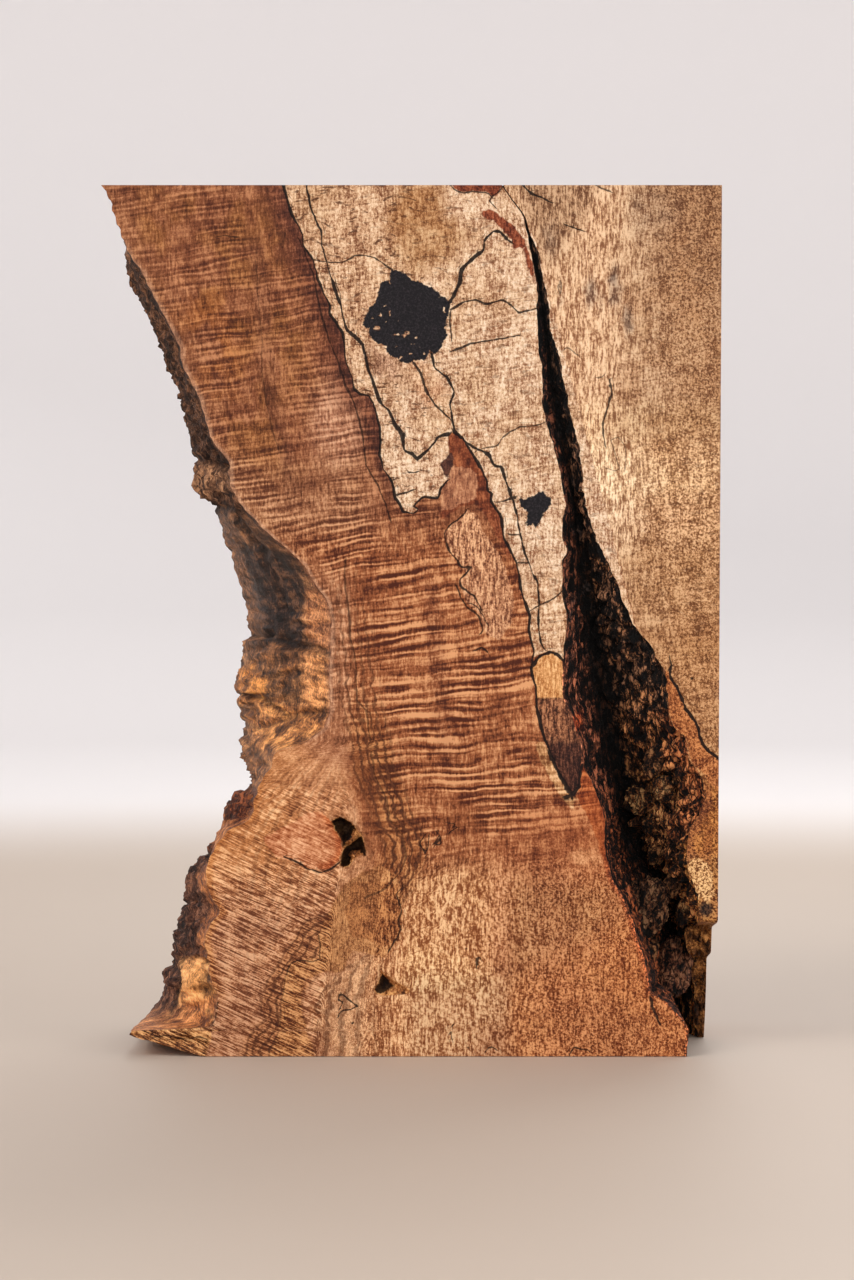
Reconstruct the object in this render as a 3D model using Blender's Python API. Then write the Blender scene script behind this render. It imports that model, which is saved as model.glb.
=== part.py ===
"""Maple burl: one grown block with a flat sawn front, back, top, foot and right side, a natural left side and a deep
bark-lined cleft that opens downwards at the front right. Metres, +Z up, origin in the middle of the foot on the floor."""

import bmesh
import bpy
import numpy as np

# ---- driving dimensions, metres --------------------------------------------------------------------------------------
HEIGHT = 0.380  # sawn foot to sawn top
THICK = 0.120  # sawn front to sawn back
RIGHT_TOP, RIGHT_FOOT = 0.1354, 0.1333  # the sawn right side leans in by 2 mm towards the foot
CENTRE_X = 0.00675  # where the drawing's middle line lies from the middle of the block
EYE = 1.318  # the outlines below are drawn as seen from this far in front of the sawn front
CRACK_HALF = 1.6  # half the width of the closed crack above the cleft, in grid squares
KNOT_DEPTH = 0.011  # hollow of the lost branch
PIT_DEPTH = 0.006  # three-cornered pit near the foot

# The outlines are drawn on a ruled grid over the sawn front: v runs down, u runs to the right, and one square is GRID
# metres on that front. Each list holds (v, u).
GRID = HEIGHT / 871.5
FOOT_V, EYE_V, EYE_U = 1056.5, 640.0, 427.0

FRONT_LEFT = [  # left edge of the sawn front
    (185, 101), (199, 110), (221, 116), (240, 124), (258, 131), (270, 141), (291, 151), (323, 168), (346, 180),
    (364, 182), (399, 200), (440, 211), (462, 230), (486, 230), (505, 241), (530, 265), (548, 286), (563, 303),
    (586, 316), (600, 327), (622, 332), (650, 331), (680, 329), (710, 331), (730, 324), (745, 302), (748, 286),
    (753, 273), (766, 273), (780, 261), (803, 253), (816, 253), (824, 243), (829, 229), (842, 218), (856, 210),
    (868, 206), (887, 207), (897, 211), (912, 222), (922, 212), (939, 204), (962, 209), (978, 210), (996, 218),
    (1019, 214), (1027, 212), (1029, 205), (1031, 131), (1036, 129), (1040, 142), (1043, 161), (1050, 177),
    (1055.5, 199), (1056.5, 203),
]
NEAR_LEFT = [  # the natural side a little behind that edge
    (185, 107), (221, 122), (258, 131), (282, 139), (329, 164), (364, 178), (399, 195), (440, 204), (462, 218),
    (486, 220), (505, 229), (530, 244), (548, 258), (563, 270), (586, 283), (606, 292), (640, 296), (680, 292),
    (710, 296), (730, 292), (748, 268), (766, 262), (780, 259), (796, 250), (816, 246), (833, 221), (859, 207), (883, 200),
    (905, 200), (931, 196), (956, 198), (965, 197), (972, 187), (984, 182), (1007, 190), (1019, 179), (1023, 163),
    (1025, 142), (1028, 133), (1036, 135), (1043, 160), (1050, 182), (1056.5, 200),
]
FAR_LEFT = [  # the natural side near the back
    (185, 124), (221, 127.5), (240, 129), (258, 131), (270, 134), (282, 136), (329, 156), (352, 167), (376, 175),
    (397, 184), (415, 185), (431, 191), (456, 198), (471, 197), (493, 203), (506, 216), (523, 221), (543, 224),
    (551, 231), (569, 233), (588, 243), (606, 247), (632, 249), (641, 244), (657, 243), (679, 236), (697, 236),
    (730, 243), (743, 241), (758, 243), (778, 256), (791, 246), (796, 236), (806, 225), (821, 226), (833, 220),
    (859, 205), (883, 193), (897, 193), (905, 185), (931, 182), (956, 174), (984, 169), (1003, 158), (1019, 145),
    (1024, 149), (1056.5, 152),
]
CLEFT_LEFT = [  # left lip of the cleft, a closed crack above v = 235
    (185, 502), (201, 513), (215, 524), (231, 528), (240, 528), (268, 534), (293, 537), (333, 537), (364, 541),
    (401, 542), (431, 549), (450, 555), (477, 560), (506, 565), (538, 562), (551, 568), (562, 562), (589, 562),
    (616, 566), (654, 565), (690, 562), (705, 568), (721, 575), (751, 582), (766, 584), (786, 593), (813, 603),
    (829, 605), (854, 606), (881, 613), (898, 624), (916, 631), (939, 638), (965, 647), (986, 649), (995, 651),
    (998, 661), (1017, 680), (1028, 688), (1042, 688), (1056.5, 687),
]
CLEFT_RIGHT = [  # right lip, on the front down to v = 925 and on the set-back strip below that
    (185, 502), (201, 513), (215, 524), (231, 528), (240, 534), (262, 541), (291, 546), (323, 550), (354, 558),
    (380, 564), (411, 570), (450, 580), (480, 583), (506, 586), (539, 596), (566, 609), (599, 623), (624, 634),
    (647, 652), (669, 664), (680, 666), (708, 668), (728, 673), (738, 686), (763, 691), (779, 704), (796, 706),
    (813, 699), (828, 689), (842, 686), (862, 687), (879, 691), (901, 699), (922, 702), (930, 686), (958, 689),
    (986, 694), (1024, 693), (1030, 697), (1056.5, 699),
]
CLEFT_FLOOR = [  # the deepest line of the cleft
    (185, 502), (201, 513), (215, 524), (231, 528), (300, 541), (400, 553), (500, 573), (600, 584), (660, 592),
    (721, 603), (796, 618), (821, 619), (854, 636), (871, 653), (901, 667), (950, 674), (1000, 682), (1030, 690),
]
CLEFT_DEPTH = [  # (v on the front, metres behind the front)
    (185, 0.0020), (231, 0.0025), (262, 0.004), (300, 0.006), (400, 0.012), (500, 0.018), (600, 0.028),
    (700, 0.042), (800, 0.056), (900, 0.074), (950, 0.086), (1000, 0.094), (1056.5, 0.097),
]
STRIP_BACK = [  # how far the broken strip right of the cleft is set back from the front
    (185, 0.0), (922, 0.0), (933, 0.028), (960, 0.031), (970, 0.052), (1000, 0.054), (1030, 0.058), (1056.5, 0.064),
]

# Points along each stretch of a level outline: front, cleft walls, right part of the front, right side, back, left side.
COUNTS = (9, 8, 9, 4, 3, 6, 12)
# Levels: wide steps down the block, and narrow ones at the toes and the broken strip.
LOW_LEVELS = [995, 998, 1006, 1014, 1021, 1027, 1029, 1031, 1036, 1040, 1044, 1050, FOOT_V]
LEVELS = np.concatenate([np.linspace(185, 905, 46), np.arange(914, 990, 9), LOW_LEVELS])


def reading(points, v):
    return float(np.interp(v, [p[0] for p in points], [p[1] for p in points]))


def across(points, v, depth):
    """X of an outline at the level v and this far behind the front, undoing the drawing's perspective."""
    seen_v = EYE_V + (v - EYE_V) / (1 + depth / EYE)
    return (reading(points, seen_v) - EYE_U) * GRID * (1 + depth / EYE) + CENTRE_X


def height(v):
    return (FOOT_V - v) * GRID


def run(start, end, count, bend=None):
    """Points from start up to, not including, end. bend maps the share of the way to a share across and one back."""
    out = []
    for i in range(count):
        s = i / count
        a, b = bend(s) if bend else (s, s)
        out.append((start[0] + (end[0] - start[0]) * a, start[1] + (end[1] - start[1]) * b))
    return out


def left_side(v, count):
    """From the back corner to the front edge, through the two outlines of the natural side."""
    depths = [THICK, 0.100, 0.050, 0.025, 0.0]
    far = across(FAR_LEFT, v, 0.100)
    near = across(NEAR_LEFT, v, 0.025)
    front = across(FRONT_LEFT, v, 0.0)
    places = [far + 0.0015, far, far + (near - far) * 0.42, near, front]
    out = []
    for i in range(count):
        depth = THICK * (1 - i / count)
        out.append((float(np.interp(-depth, [-d for d in depths], places)), depth))
    return out


def outline(v):
    """One level of the block as (x, depth behind the front), anticlockwise from above."""
    depth, back = reading(CLEFT_DEPTH, v), reading(STRIP_BACK, v)
    front_left = (across(FRONT_LEFT, v, 0.0), 0.0)
    floor = (across(CLEFT_FLOOR, v, depth), depth)
    lip_l, lip_r = across(CLEFT_LEFT, v, 0.0), across(CLEFT_RIGHT, v, back)
    middle, half = (lip_l + lip_r) / 2, max((lip_r - lip_l) / 2, CRACK_HALF * GRID)
    lip_l, lip_r = (middle - half, 0.0), (middle + half, back)
    right = float(np.interp(v, [185, FOOT_V], [RIGHT_TOP, RIGHT_FOOT]))
    floor = (min(max(floor[0], lip_l[0] + 0.3 * GRID), right - 0.012), depth)
    corner = (right, back)
    points = run(front_left, lip_l, COUNTS[0])
    points += run(lip_l, floor, COUNTS[1], lambda s: (s**1.2, s**0.85))
    points += run(floor, lip_r, COUNTS[2], lambda s: (s**0.9, s**1.25))
    points += run(lip_r, corner, COUNTS[3])
    points += run(corner, (right, THICK), COUNTS[4])
    back_left = left_side(v, COUNTS[6])[0]
    points += run((right, THICK), back_left, COUNTS[5])
    points += left_side(v, COUNTS[6])
    return [(x, d - THICK / 2, height(v)) for x, d in points]


def block():
    """Joins the level outlines with quads from the foot up, and closes them with the sawn foot and top."""
    bm = bmesh.new()
    rings = [[bm.verts.new(p) for p in outline(v)] for v in sorted(LEVELS, reverse=True)]
    for low, high in zip(rings, rings[1:]):
        for i in range(len(low)):
            j = (i + 1) % len(low)
            bm.faces.new((low[i], low[j], high[j], high[i]))
    bm.faces.new(list(reversed(rings[0])))
    bm.faces.new(rings[-1])
    bmesh.ops.recalc_face_normals(bm, faces=bm.faces)
    return bm


def make_object(name, bm):
    mesh = bpy.data.meshes.new(name)
    bm.to_mesh(mesh)
    bm.free()
    made = bpy.data.objects.new(name, mesh)
    bpy.context.scene.collection.objects.link(made)
    return made


def hollow(name, u, v, half_u, half_v, depth, turn=0.0):
    """A rounded cutter that sinks this deep into the sawn front."""
    bm = bmesh.new()
    bmesh.ops.create_icosphere(bm, subdivisions=2, radius=1.0)
    cutter = make_object(name, bm)
    for vertex in cutter.data.vertices:
        x, y, z = vertex.co
        vertex.co = (x * half_u * GRID, y * depth, z * half_v * GRID)
    cutter.rotation_euler = (0, turn, 0)
    cutter.location = ((u - EYE_U) * GRID + CENTRE_X, -THICK / 2, height(v))
    cutter.hide_render = True
    cutter.display_type = "WIRE"
    return cutter


def wood_material():
    material = bpy.data.materials.new("spalted_maple")
    material.use_nodes = True
    shader = material.node_tree.nodes["Principled BSDF"]
    shader.inputs["Base Color"].default_value = (0.39, 0.20, 0.09, 1.0)
    shader.inputs["Roughness"].default_value = 0.55
    shader.inputs["Metallic"].default_value = 0.0
    return material


for old in list(bpy.data.objects):
    bpy.data.objects.remove(old)

burl = make_object("maple_burl", block())
burl.data.materials.append(wood_material())
for cutter in (
    hollow("knot_cutter", 346, 843, 17, 26, KNOT_DEPTH, 0.25),
    hollow("pit_cutter", 388, 984, 14, 9, PIT_DEPTH, -0.2),
):
    cut = burl.modifiers.new(cutter.name, "BOOLEAN")
    cut.operation = "DIFFERENCE"
    cut.solver = "EXACT"
    cut.object = cutter
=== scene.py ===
"""A spalted, curly maple burl: a sawn block with a natural side, black spalt lines and a bark-lined cleft."""

import math

import bmesh
import bpy
import numpy as np
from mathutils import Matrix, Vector
from mathutils.geometry import delaunay_2d_cdt


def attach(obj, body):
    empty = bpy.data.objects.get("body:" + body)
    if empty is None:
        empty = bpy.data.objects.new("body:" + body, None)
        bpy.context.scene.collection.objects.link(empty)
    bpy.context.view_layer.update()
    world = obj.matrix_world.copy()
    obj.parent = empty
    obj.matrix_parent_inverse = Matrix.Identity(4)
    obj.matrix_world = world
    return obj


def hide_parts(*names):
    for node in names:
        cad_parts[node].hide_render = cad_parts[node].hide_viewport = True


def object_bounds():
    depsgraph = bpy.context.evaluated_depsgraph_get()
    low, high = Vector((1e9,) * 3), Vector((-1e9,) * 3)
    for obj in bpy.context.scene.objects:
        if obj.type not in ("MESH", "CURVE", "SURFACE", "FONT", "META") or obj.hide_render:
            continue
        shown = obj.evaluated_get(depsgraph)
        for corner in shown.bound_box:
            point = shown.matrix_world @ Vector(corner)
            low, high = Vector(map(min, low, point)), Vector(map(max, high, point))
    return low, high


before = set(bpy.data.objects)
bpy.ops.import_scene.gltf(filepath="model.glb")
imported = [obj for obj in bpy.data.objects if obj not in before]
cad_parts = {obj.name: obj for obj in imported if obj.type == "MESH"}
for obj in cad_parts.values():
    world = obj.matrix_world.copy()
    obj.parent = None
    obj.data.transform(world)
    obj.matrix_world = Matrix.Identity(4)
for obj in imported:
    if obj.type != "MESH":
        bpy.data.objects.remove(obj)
cad_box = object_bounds()

# ---- the block, on the same ruled grid as its solid: v runs down, u to the right, one square is GRID metres -----------
HEIGHT, THICK = 0.380, 0.120
RIGHT_TOP, RIGHT_FOOT = 0.1354, 0.1333
CENTRE_X, EYE, CRACK_HALF = 0.00675, 1.318, 1.6
GRID = HEIGHT / 871.5
TOP_V, FOOT_V, EYE_V, EYE_U = 185.0, 1056.5, 640.0, 427.0

FRONT_LEFT = [
    (185, 101), (199, 110), (221, 116), (240, 124), (258, 131), (270, 141), (291, 151), (323, 168), (346, 180),
    (364, 182), (399, 200), (440, 211), (462, 230), (486, 230), (505, 241), (530, 265), (548, 286), (563, 303),
    (586, 316), (600, 327), (622, 332), (650, 331), (680, 329), (710, 331), (730, 324), (745, 302), (748, 286),
    (753, 273), (766, 273), (780, 261), (803, 253), (816, 253), (824, 243), (829, 229), (842, 218), (856, 210),
    (868, 206), (887, 207), (897, 211), (912, 222), (922, 212), (939, 204), (962, 209), (978, 210), (996, 218),
    (1019, 214), (1027, 212), (1029, 205), (1031, 131), (1036, 129), (1040, 142), (1043, 161), (1050, 177),
    (1055.5, 199), (1056.5, 203),
]
NEAR_LEFT = [
    (185, 107), (221, 122), (258, 131), (282, 139), (329, 164), (364, 178), (399, 195), (440, 204), (462, 218),
    (486, 220), (505, 229), (530, 244), (548, 258), (563, 270), (586, 283), (606, 292), (640, 296), (680, 292),
    (710, 296), (730, 292), (748, 268), (766, 262), (780, 259), (796, 250), (816, 246), (833, 221), (859, 207),
    (883, 200), (905, 200), (931, 196), (956, 198), (965, 197), (972, 187), (984, 182), (1007, 190), (1019, 179),
    (1023, 163), (1025, 142), (1028, 133), (1036, 135), (1043, 160), (1050, 182), (1056.5, 200),
]
FAR_LEFT = [
    (185, 124), (221, 127.5), (240, 129), (258, 131), (270, 134), (282, 136), (329, 156), (352, 167), (376, 175),
    (397, 184), (415, 185), (431, 191), (456, 198), (471, 197), (493, 203), (506, 216), (523, 221), (543, 224),
    (551, 231), (569, 233), (588, 243), (606, 247), (632, 249), (641, 244), (657, 243), (679, 236), (697, 236),
    (730, 243), (743, 241), (758, 243), (778, 256), (791, 246), (796, 236), (806, 225), (821, 226), (833, 220),
    (859, 205), (883, 193), (897, 193), (905, 185), (931, 182), (956, 174), (984, 169), (1003, 158), (1019, 145),
    (1024, 149), (1056.5, 152),
]
CLEFT_LEFT = [
    (185, 502), (201, 513), (215, 524), (231, 528), (240, 528), (268, 534), (293, 537), (333, 537), (364, 541),
    (401, 542), (431, 549), (450, 555), (477, 560), (506, 565), (538, 562), (551, 568), (562, 562), (589, 562),
    (616, 566), (654, 565), (690, 562), (705, 568), (721, 575), (751, 582), (766, 584), (786, 593), (813, 603),
    (829, 605), (854, 606), (881, 613), (898, 624), (916, 631), (939, 638), (965, 647), (986, 649), (995, 651),
    (998, 661), (1017, 680), (1028, 688), (1042, 688), (1056.5, 687),
]
CLEFT_RIGHT = [
    (185, 502), (201, 513), (215, 524), (231, 528), (240, 534), (262, 541), (291, 546), (323, 550), (354, 558),
    (380, 564), (411, 570), (450, 580), (480, 583), (506, 586), (539, 596), (566, 609), (599, 623), (624, 634),
    (647, 652), (669, 664), (680, 666), (708, 668), (728, 673), (738, 686), (763, 691), (779, 704), (796, 706),
    (813, 699), (828, 689), (842, 686), (862, 687), (879, 691), (901, 699), (922, 702), (930, 686), (958, 689),
    (986, 694), (1024, 693), (1030, 697), (1056.5, 699),
]
CLEFT_FLOOR = [
    (185, 502), (201, 513), (215, 524), (231, 528), (300, 541), (400, 553), (500, 573), (600, 584), (660, 592),
    (721, 603), (796, 618), (821, 619), (854, 636), (871, 653), (901, 667), (950, 674), (1000, 682), (1030, 690),
]
CLEFT_DEPTH = [
    (185, 0.0020), (231, 0.0025), (262, 0.004), (300, 0.006), (400, 0.012), (500, 0.018), (600, 0.028),
    (700, 0.042), (800, 0.056), (900, 0.074), (950, 0.086), (1000, 0.094), (1056.5, 0.097),
]
STRIP_BACK = [
    (185, 0.0), (922, 0.0), (933, 0.028), (960, 0.031), (970, 0.052), (1000, 0.054), (1030, 0.058), (1056.5, 0.064),
]


# ---- smooth random fields --------------------------------------------------------------------------------------------
def hashed(ix, iy, iz, seed):
    h = (ix.astype(np.uint64) * np.uint64(0x9E3779B1) + iy.astype(np.uint64) * np.uint64(0x85EBCA77)) & np.uint64(0xFFFFFFFF)
    h = (h + iz.astype(np.uint64) * np.uint64(0xC2B2AE3D) + np.uint64(seed * 7919 + 13)) & np.uint64(0xFFFFFFFF)
    h = ((h ^ (h >> np.uint64(15))) * np.uint64(0x2C1B3C6D)) & np.uint64(0xFFFFFFFF)
    h = ((h ^ (h >> np.uint64(12))) * np.uint64(0x297A2D39)) & np.uint64(0xFFFFFFFF)
    h = h ^ (h >> np.uint64(15))
    return h.astype(np.float64) / 4294967296.0


def field(x, y, z, seed):
    """Smooth value noise from -1 to 1 at these points."""
    x, y, z = np.broadcast_arrays(x, y, z)
    x, y, z = x + 4096.0, y + 4096.0, z + 4096.0
    ix, iy, iz = np.floor(x), np.floor(y), np.floor(z)
    fx, fy, fz = x - ix, y - iy, z - iz
    sx, sy, sz = (f * f * f * (f * (f * 6 - 15) + 10) for f in (fx, fy, fz))
    out = 0.0
    for dx in (0, 1):
        for dy in (0, 1):
            for dz in (0, 1):
                w = (sx if dx else 1 - sx) * (sy if dy else 1 - sy) * (sz if dz else 1 - sz)
                out = out + w * hashed(ix + dx, iy + dy, iz + dz, seed)
    return out * 2 - 1


def layered(x, y, z, seed, octaves=4, gain=0.5):
    out, size, total = 0.0, 1.0, 0.0
    for i in range(octaves):
        f = 2.03**i
        out = out + size * field(x * f, y * f, z * f, seed + 31 * i)
        total += size
        size *= gain
    return out / total


def cells(x, y, z, seed):
    """Distances to the nearest and second nearest scattered point, and the nearest one's number."""
    x, y, z = (a + 4096.0 for a in np.broadcast_arrays(x, y, z))
    ix, iy, iz = np.floor(x), np.floor(y), np.floor(z)
    near = np.full(x.shape, 9.0)
    second = np.full(x.shape, 9.0)
    number = np.zeros(x.shape)
    for dx in (-1, 0, 1):
        for dy in (-1, 0, 1):
            for dz in (-1, 0, 1):
                cx, cy, cz = ix + dx, iy + dy, iz + dz
                px, py, pz = (c + hashed(cx, cy, cz, seed + k) for k, c in enumerate((cx, cy, cz)))
                d = np.sqrt((px - x) ** 2 + (py - y) ** 2 + (pz - z) ** 2)
                closer = d < near
                second = np.where(closer, near, np.minimum(second, d))
                number = np.where(closer, hashed(cx, cy, cz, seed + 9), number)
                near = np.where(closer, d, near)
    return near, second, number


def smooth(low, high, x):
    t = np.clip((x - low) / (high - low), 0, 1)
    return t * t * (3 - 2 * t)


def reading(points, v):
    """An outline's u at v, its corners eased."""
    vs, us = [p[0] for p in points], [p[1] for p in points]
    ease = np.where(v < 985, 3.5, 0.7)
    return sum(np.interp(v + k * ease, vs, us) for k in (-1, -0.5, 0, 0.5, 1)) / 5


def across(points, v, depth):
    seen = EYE_V + (v - EYE_V) / (1 + depth / EYE)
    return (reading(points, seen) - EYE_U) * GRID * (1 + depth / EYE) + CENTRE_X


# ---- levels and stretches --------------------------------------------------------------------------------------------
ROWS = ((254, 32))
LEVELS = np.concatenate([np.linspace(TOP_V, 990, ROWS[0]), np.linspace(992, FOOT_V, ROWS[1])])[::-1]
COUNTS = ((122, 34, 46, 52, 10, 26, 38))
NAMES = ("front", "cleft_left", "cleft_right", "front_right", "right", "back", "left")
START = dict(zip(NAMES, np.concatenate([[0], np.cumsum(COUNTS)[:-1]])))
SIZE = dict(zip(NAMES, COUNTS))
R, C = len(LEVELS), sum(COUNTS)
rowv = LEVELS[:, None]


def shares(count):
    return (np.arange(count) / count)[None, :]


def ripple(v, depth):
    """The curl's waves on the natural side, in metres; they run back along the block."""
    phase = v / 13.2 + 0.35 * field(v / 60, depth / 0.05, 0, 3) + depth / 0.09
    size = 0.35 + 0.65 * smooth(-0.3, 0.5, field(v / 90, depth / 0.06, 0.5, 4))
    return 0.00045 * size * np.sin(2 * math.pi * phase) * np.where(v < 985, 1, 0.3)


def chips(v, seed, size=1.0):
    """Small irregularities of a sawn edge, in metres."""
    fade = smooth(0, 10, FOOT_V - v)
    return size * GRID * fade * (1.0 * field(v / 14, 0, 0, seed) + 0.7 * field(v / 5, 0, 0, seed + 1) + 0.4 * field(v / 2.2, 0, 0, seed + 2))


depth_v = np.interp(rowv, [p[0] for p in CLEFT_DEPTH], [p[1] for p in CLEFT_DEPTH])
back_v = np.interp(rowv, [p[0] for p in STRIP_BACK], [p[1] for p in STRIP_BACK])
front_left = across(FRONT_LEFT, rowv, 0.0) + ripple(rowv, 0.0) + chips(rowv, 11, 0.5)
lip_l, lip_r = across(CLEFT_LEFT, rowv, 0.0), across(CLEFT_RIGHT, rowv, back_v)
middle, half = (lip_l + lip_r) / 2, np.maximum((lip_r - lip_l) / 2, (CRACK_HALF - 0.9 * smooth(240, 200, rowv)) * GRID)
open_px = 2 * half / GRID
lip_l = middle - half + chips(rowv, 21) * np.clip(open_px / 12, 0.15, 1)
lip_r = middle + half + chips(rowv, 27, 1.5) * np.clip(open_px / 12, 0.15, 1) * np.clip((1050 - rowv) / 40, 0.2, 1)
right_x = np.interp(rowv, [TOP_V, FOOT_V], [RIGHT_TOP, RIGHT_FOOT])
lip_r = np.minimum(lip_r, right_x - 0.0015)
floor_x = across(CLEFT_FLOOR, rowv, depth_v)
floor_x = np.minimum(np.maximum(floor_x, lip_l + 0.3 * GRID), right_x - 0.012)

depths = [THICK, 0.100, 0.050, 0.025, 0.0]
far = across(FAR_LEFT, rowv, 0.100)
near = across(NEAR_LEFT, rowv, 0.025)
places = [far + 0.0015, far, far + (near - far) * 0.42, near, front_left]


def left_at(depth):
    """X of the natural side at this depth, its corners eased, for all levels."""
    out = 0.0
    for k in (-1, -0.5, 0, 0.5, 1):
        d = abs(depth + k * 0.007 * smooth(0, 0.012, depth))
        for (d1, p1), (d0, p0) in zip(zip(depths, places), zip(depths[1:], places[1:])):
            if d0 <= min(d, THICK) <= d1:
                out = out + p0 + (p1 - p0) * ((min(d, THICK) - d0) / (d1 - d0))
                break
    return out / 5


columns_x, columns_d = [], []
s = shares(SIZE["front"])
columns_x.append(front_left + (lip_l - front_left) * s)
columns_d.append(0 * rowv * s)
s = shares(SIZE["cleft_left"])
columns_x.append(lip_l + (floor_x - lip_l) * s**1.2)
columns_d.append(depth_v * s**0.85)
s = shares(SIZE["cleft_right"])
columns_x.append(floor_x + (lip_r - floor_x) * s**0.9)
columns_d.append(depth_v + (back_v - depth_v) * s**1.25)
s = shares(SIZE["front_right"])
columns_x.append(lip_r + (right_x - lip_r) * s)
columns_d.append(back_v + 0 * s)
s = shares(SIZE["right"])
columns_x.append(right_x + 0 * s)
columns_d.append(back_v + (THICK - back_v) * s)
back_left = left_at(THICK)
s = shares(SIZE["back"])
columns_x.append(right_x + (back_left - right_x) * s)
columns_d.append(THICK + 0 * rowv * s)
side = [THICK * (1 - i / SIZE["left"]) for i in range(SIZE["left"])]
columns_x.append(np.concatenate([left_at(d) + (ripple(rowv, d) if i else 0) for i, d in enumerate(side)], axis=1))
columns_d.append(np.array(side)[None, :] + 0 * rowv)
X = np.concatenate(columns_x, axis=1)
D = np.concatenate(columns_d, axis=1)
V = rowv + 0 * X
section = np.concatenate([np.full(n, k) for k, n in enumerate(COUNTS)])[None, :] + 0 * X
share = np.concatenate([np.arange(n) / n for n in COUNTS])[None, :] + 0 * X
P = np.stack([X, D - THICK / 2, (FOOT_V - V) * GRID], axis=-1)
normal = np.cross(np.roll(P, -1, axis=1) - np.roll(P, 1, axis=1), np.gradient(P, axis=0))
normal /= np.maximum(np.linalg.norm(normal, axis=-1, keepdims=True), 1e-12)


# ---- outlines and lines of the figure --------------------------------------------------------------------------------
def from_outline(points, u, v, reach=60.0):
    """Signed distance to a closed outline, negative inside, in grid squares; reach far away."""
    pu = np.array([p[0] for p in points], float)
    pv = np.array([p[1] for p in points], float)
    out = np.full(u.shape, reach)
    near_it = (u > pu.min() - reach) & (u < pu.max() + reach) & (v > pv.min() - reach) & (v < pv.max() + reach)
    x, y = u[near_it], v[near_it]
    if not len(x):
        return out
    best = np.full(x.shape, reach**2)
    inside = np.zeros(x.shape, bool)
    for i in range(len(pu)):
        ax, ay, bx, by = pu[i - 1], pv[i - 1], pu[i], pv[i]
        ex, ey = bx - ax, by - ay
        t = np.clip(((x - ax) * ex + (y - ay) * ey) / max(ex * ex + ey * ey, 1e-9), 0, 1)
        best = np.minimum(best, (x - ax - t * ex) ** 2 + (y - ay - t * ey) ** 2)
        if abs(ey) > 1e-9:
            inside ^= ((ay > y) != (by > y)) & (x < ax + ex * (y - ay) / ey)
    out[near_it] = np.where(inside, -1, 1) * np.sqrt(best)
    return out


def from_line(points, u, v, reach=12.0):
    """(signed distance, plain distance, share of the way along) to an open line."""
    pu = np.array([p[0] for p in points], float)
    pv = np.array([p[1] for p in points], float)
    signed, plain, way = np.full(u.shape, reach), np.full(u.shape, reach), np.zeros(u.shape)
    near_it = (u > pu.min() - reach) & (u < pu.max() + reach) & (v > pv.min() - reach) & (v < pv.max() + reach)
    x, y = u[near_it], v[near_it]
    if not len(x):
        return signed, plain, way
    best, sign, along_it = np.full(x.shape, reach**2), np.ones(x.shape), np.zeros(x.shape)
    lengths = np.hypot(np.diff(pu), np.diff(pv))
    total, done = lengths.sum(), 0.0
    for i in range(1, len(pu)):
        ax, ay, ex, ey = pu[i - 1], pv[i - 1], pu[i] - pu[i - 1], pv[i] - pv[i - 1]
        t = np.clip(((x - ax) * ex + (y - ay) * ey) / max(ex * ex + ey * ey, 1e-9), 0, 1)
        d = (x - ax - t * ex) ** 2 + (y - ay - t * ey) ** 2
        closer = d < best
        best = np.where(closer, d, best)
        sign = np.where(closer, np.where(ex * (y - ay) - ey * (x - ax) > 0, 1.0, -1.0), sign)
        along_it = np.where(closer, (done + t * lengths[i - 1]) / total, along_it)
        done += lengths[i - 1]
    plain[near_it] = np.sqrt(best)
    signed[near_it] = sign * plain[near_it]
    way[near_it] = along_it
    return signed, plain, way


# ---- relief of the bark and of the natural side ----------------------------------------------------------------------
# Where a place is drawn on the grid: the drawing shows the block from EYE metres in front.
AU = EYE_U + (P[..., 0] - CENTRE_X) / GRID / (1 + D / EYE)
AV = EYE_V + (V - EYE_V) / (1 + D / EYE)
DS = D / GRID
XS = P[..., 0] / GRID
# Creases of the natural side; their darkness is painted shade in the folds.
CREASES = [  # (millimetres deep, half width, darkness, points)
    (2.0, 3.2, 0.85, [(246, 635), (257, 632), (275, 640), (299, 646), (306, 644), (320, 650), (336, 656)]),
    (1.8, 2.6, 0.9, [(238, 695), (257, 696), (270, 704), (284, 716)]),
    (1.0, 2.2, 0.5, [(250, 668), (270, 677), (300, 672)]),
    (1.2, 2.4, 0.6, [(238, 722), (256, 729), (280, 722), (300, 714), (320, 712)]),
    (1.2, 2.6, 0.6, [(196, 461), (206, 458), (216, 462), (228, 468)]),
    (1.4, 2.6, 0.7, [(206, 497), (216, 505), (232, 510), (250, 536), (268, 554)]),
    (1.0, 2.2, 0.5, [(262, 556), (276, 580), (284, 610), (286, 640)]),
    (1.6, 2.2, 0.95, [(208, 850), (211, 868), (213, 886), (219, 900), (222, 913)]),
    (1.6, 2.2, 0.9, [(222, 913), (214, 924), (208, 940), (206, 962)]),
    (1.2, 2.4, 0.7, [(176, 960), (180, 980), (176, 1004), (168, 1020)]),
    (1.2, 2.2, 0.7, [(190, 900), (186, 930), (192, 950), (184, 962)]),
    (1.4, 1.8, 1.0, [(208, 1010), (212, 1018), (216, 1030)]),
]
BUMPS = [  # (u, v, half u, half v, millimetres)
    (210, 481, 15, 17, 2.0), (208, 450, 12, 10, 1.2), (240, 822, 14, 15, 1.6), (200, 886, 11, 24, 2.0),
    (188, 938, 13, 22, 1.8), (170, 985, 10, 22, 1.6), (247, 690, 12, 13, 1.6), (262, 742, 16, 10, 1.0),
    (292, 730, 18, 9, 1.0), (268, 655, 16, 10, 0.9), (318, 680, 12, 22, 0.8), (240, 600, 10, 26, 0.9),
    (206, 985, 7, 14, -2.4), (192, 985, 6, 22, 1.2),
]
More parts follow.
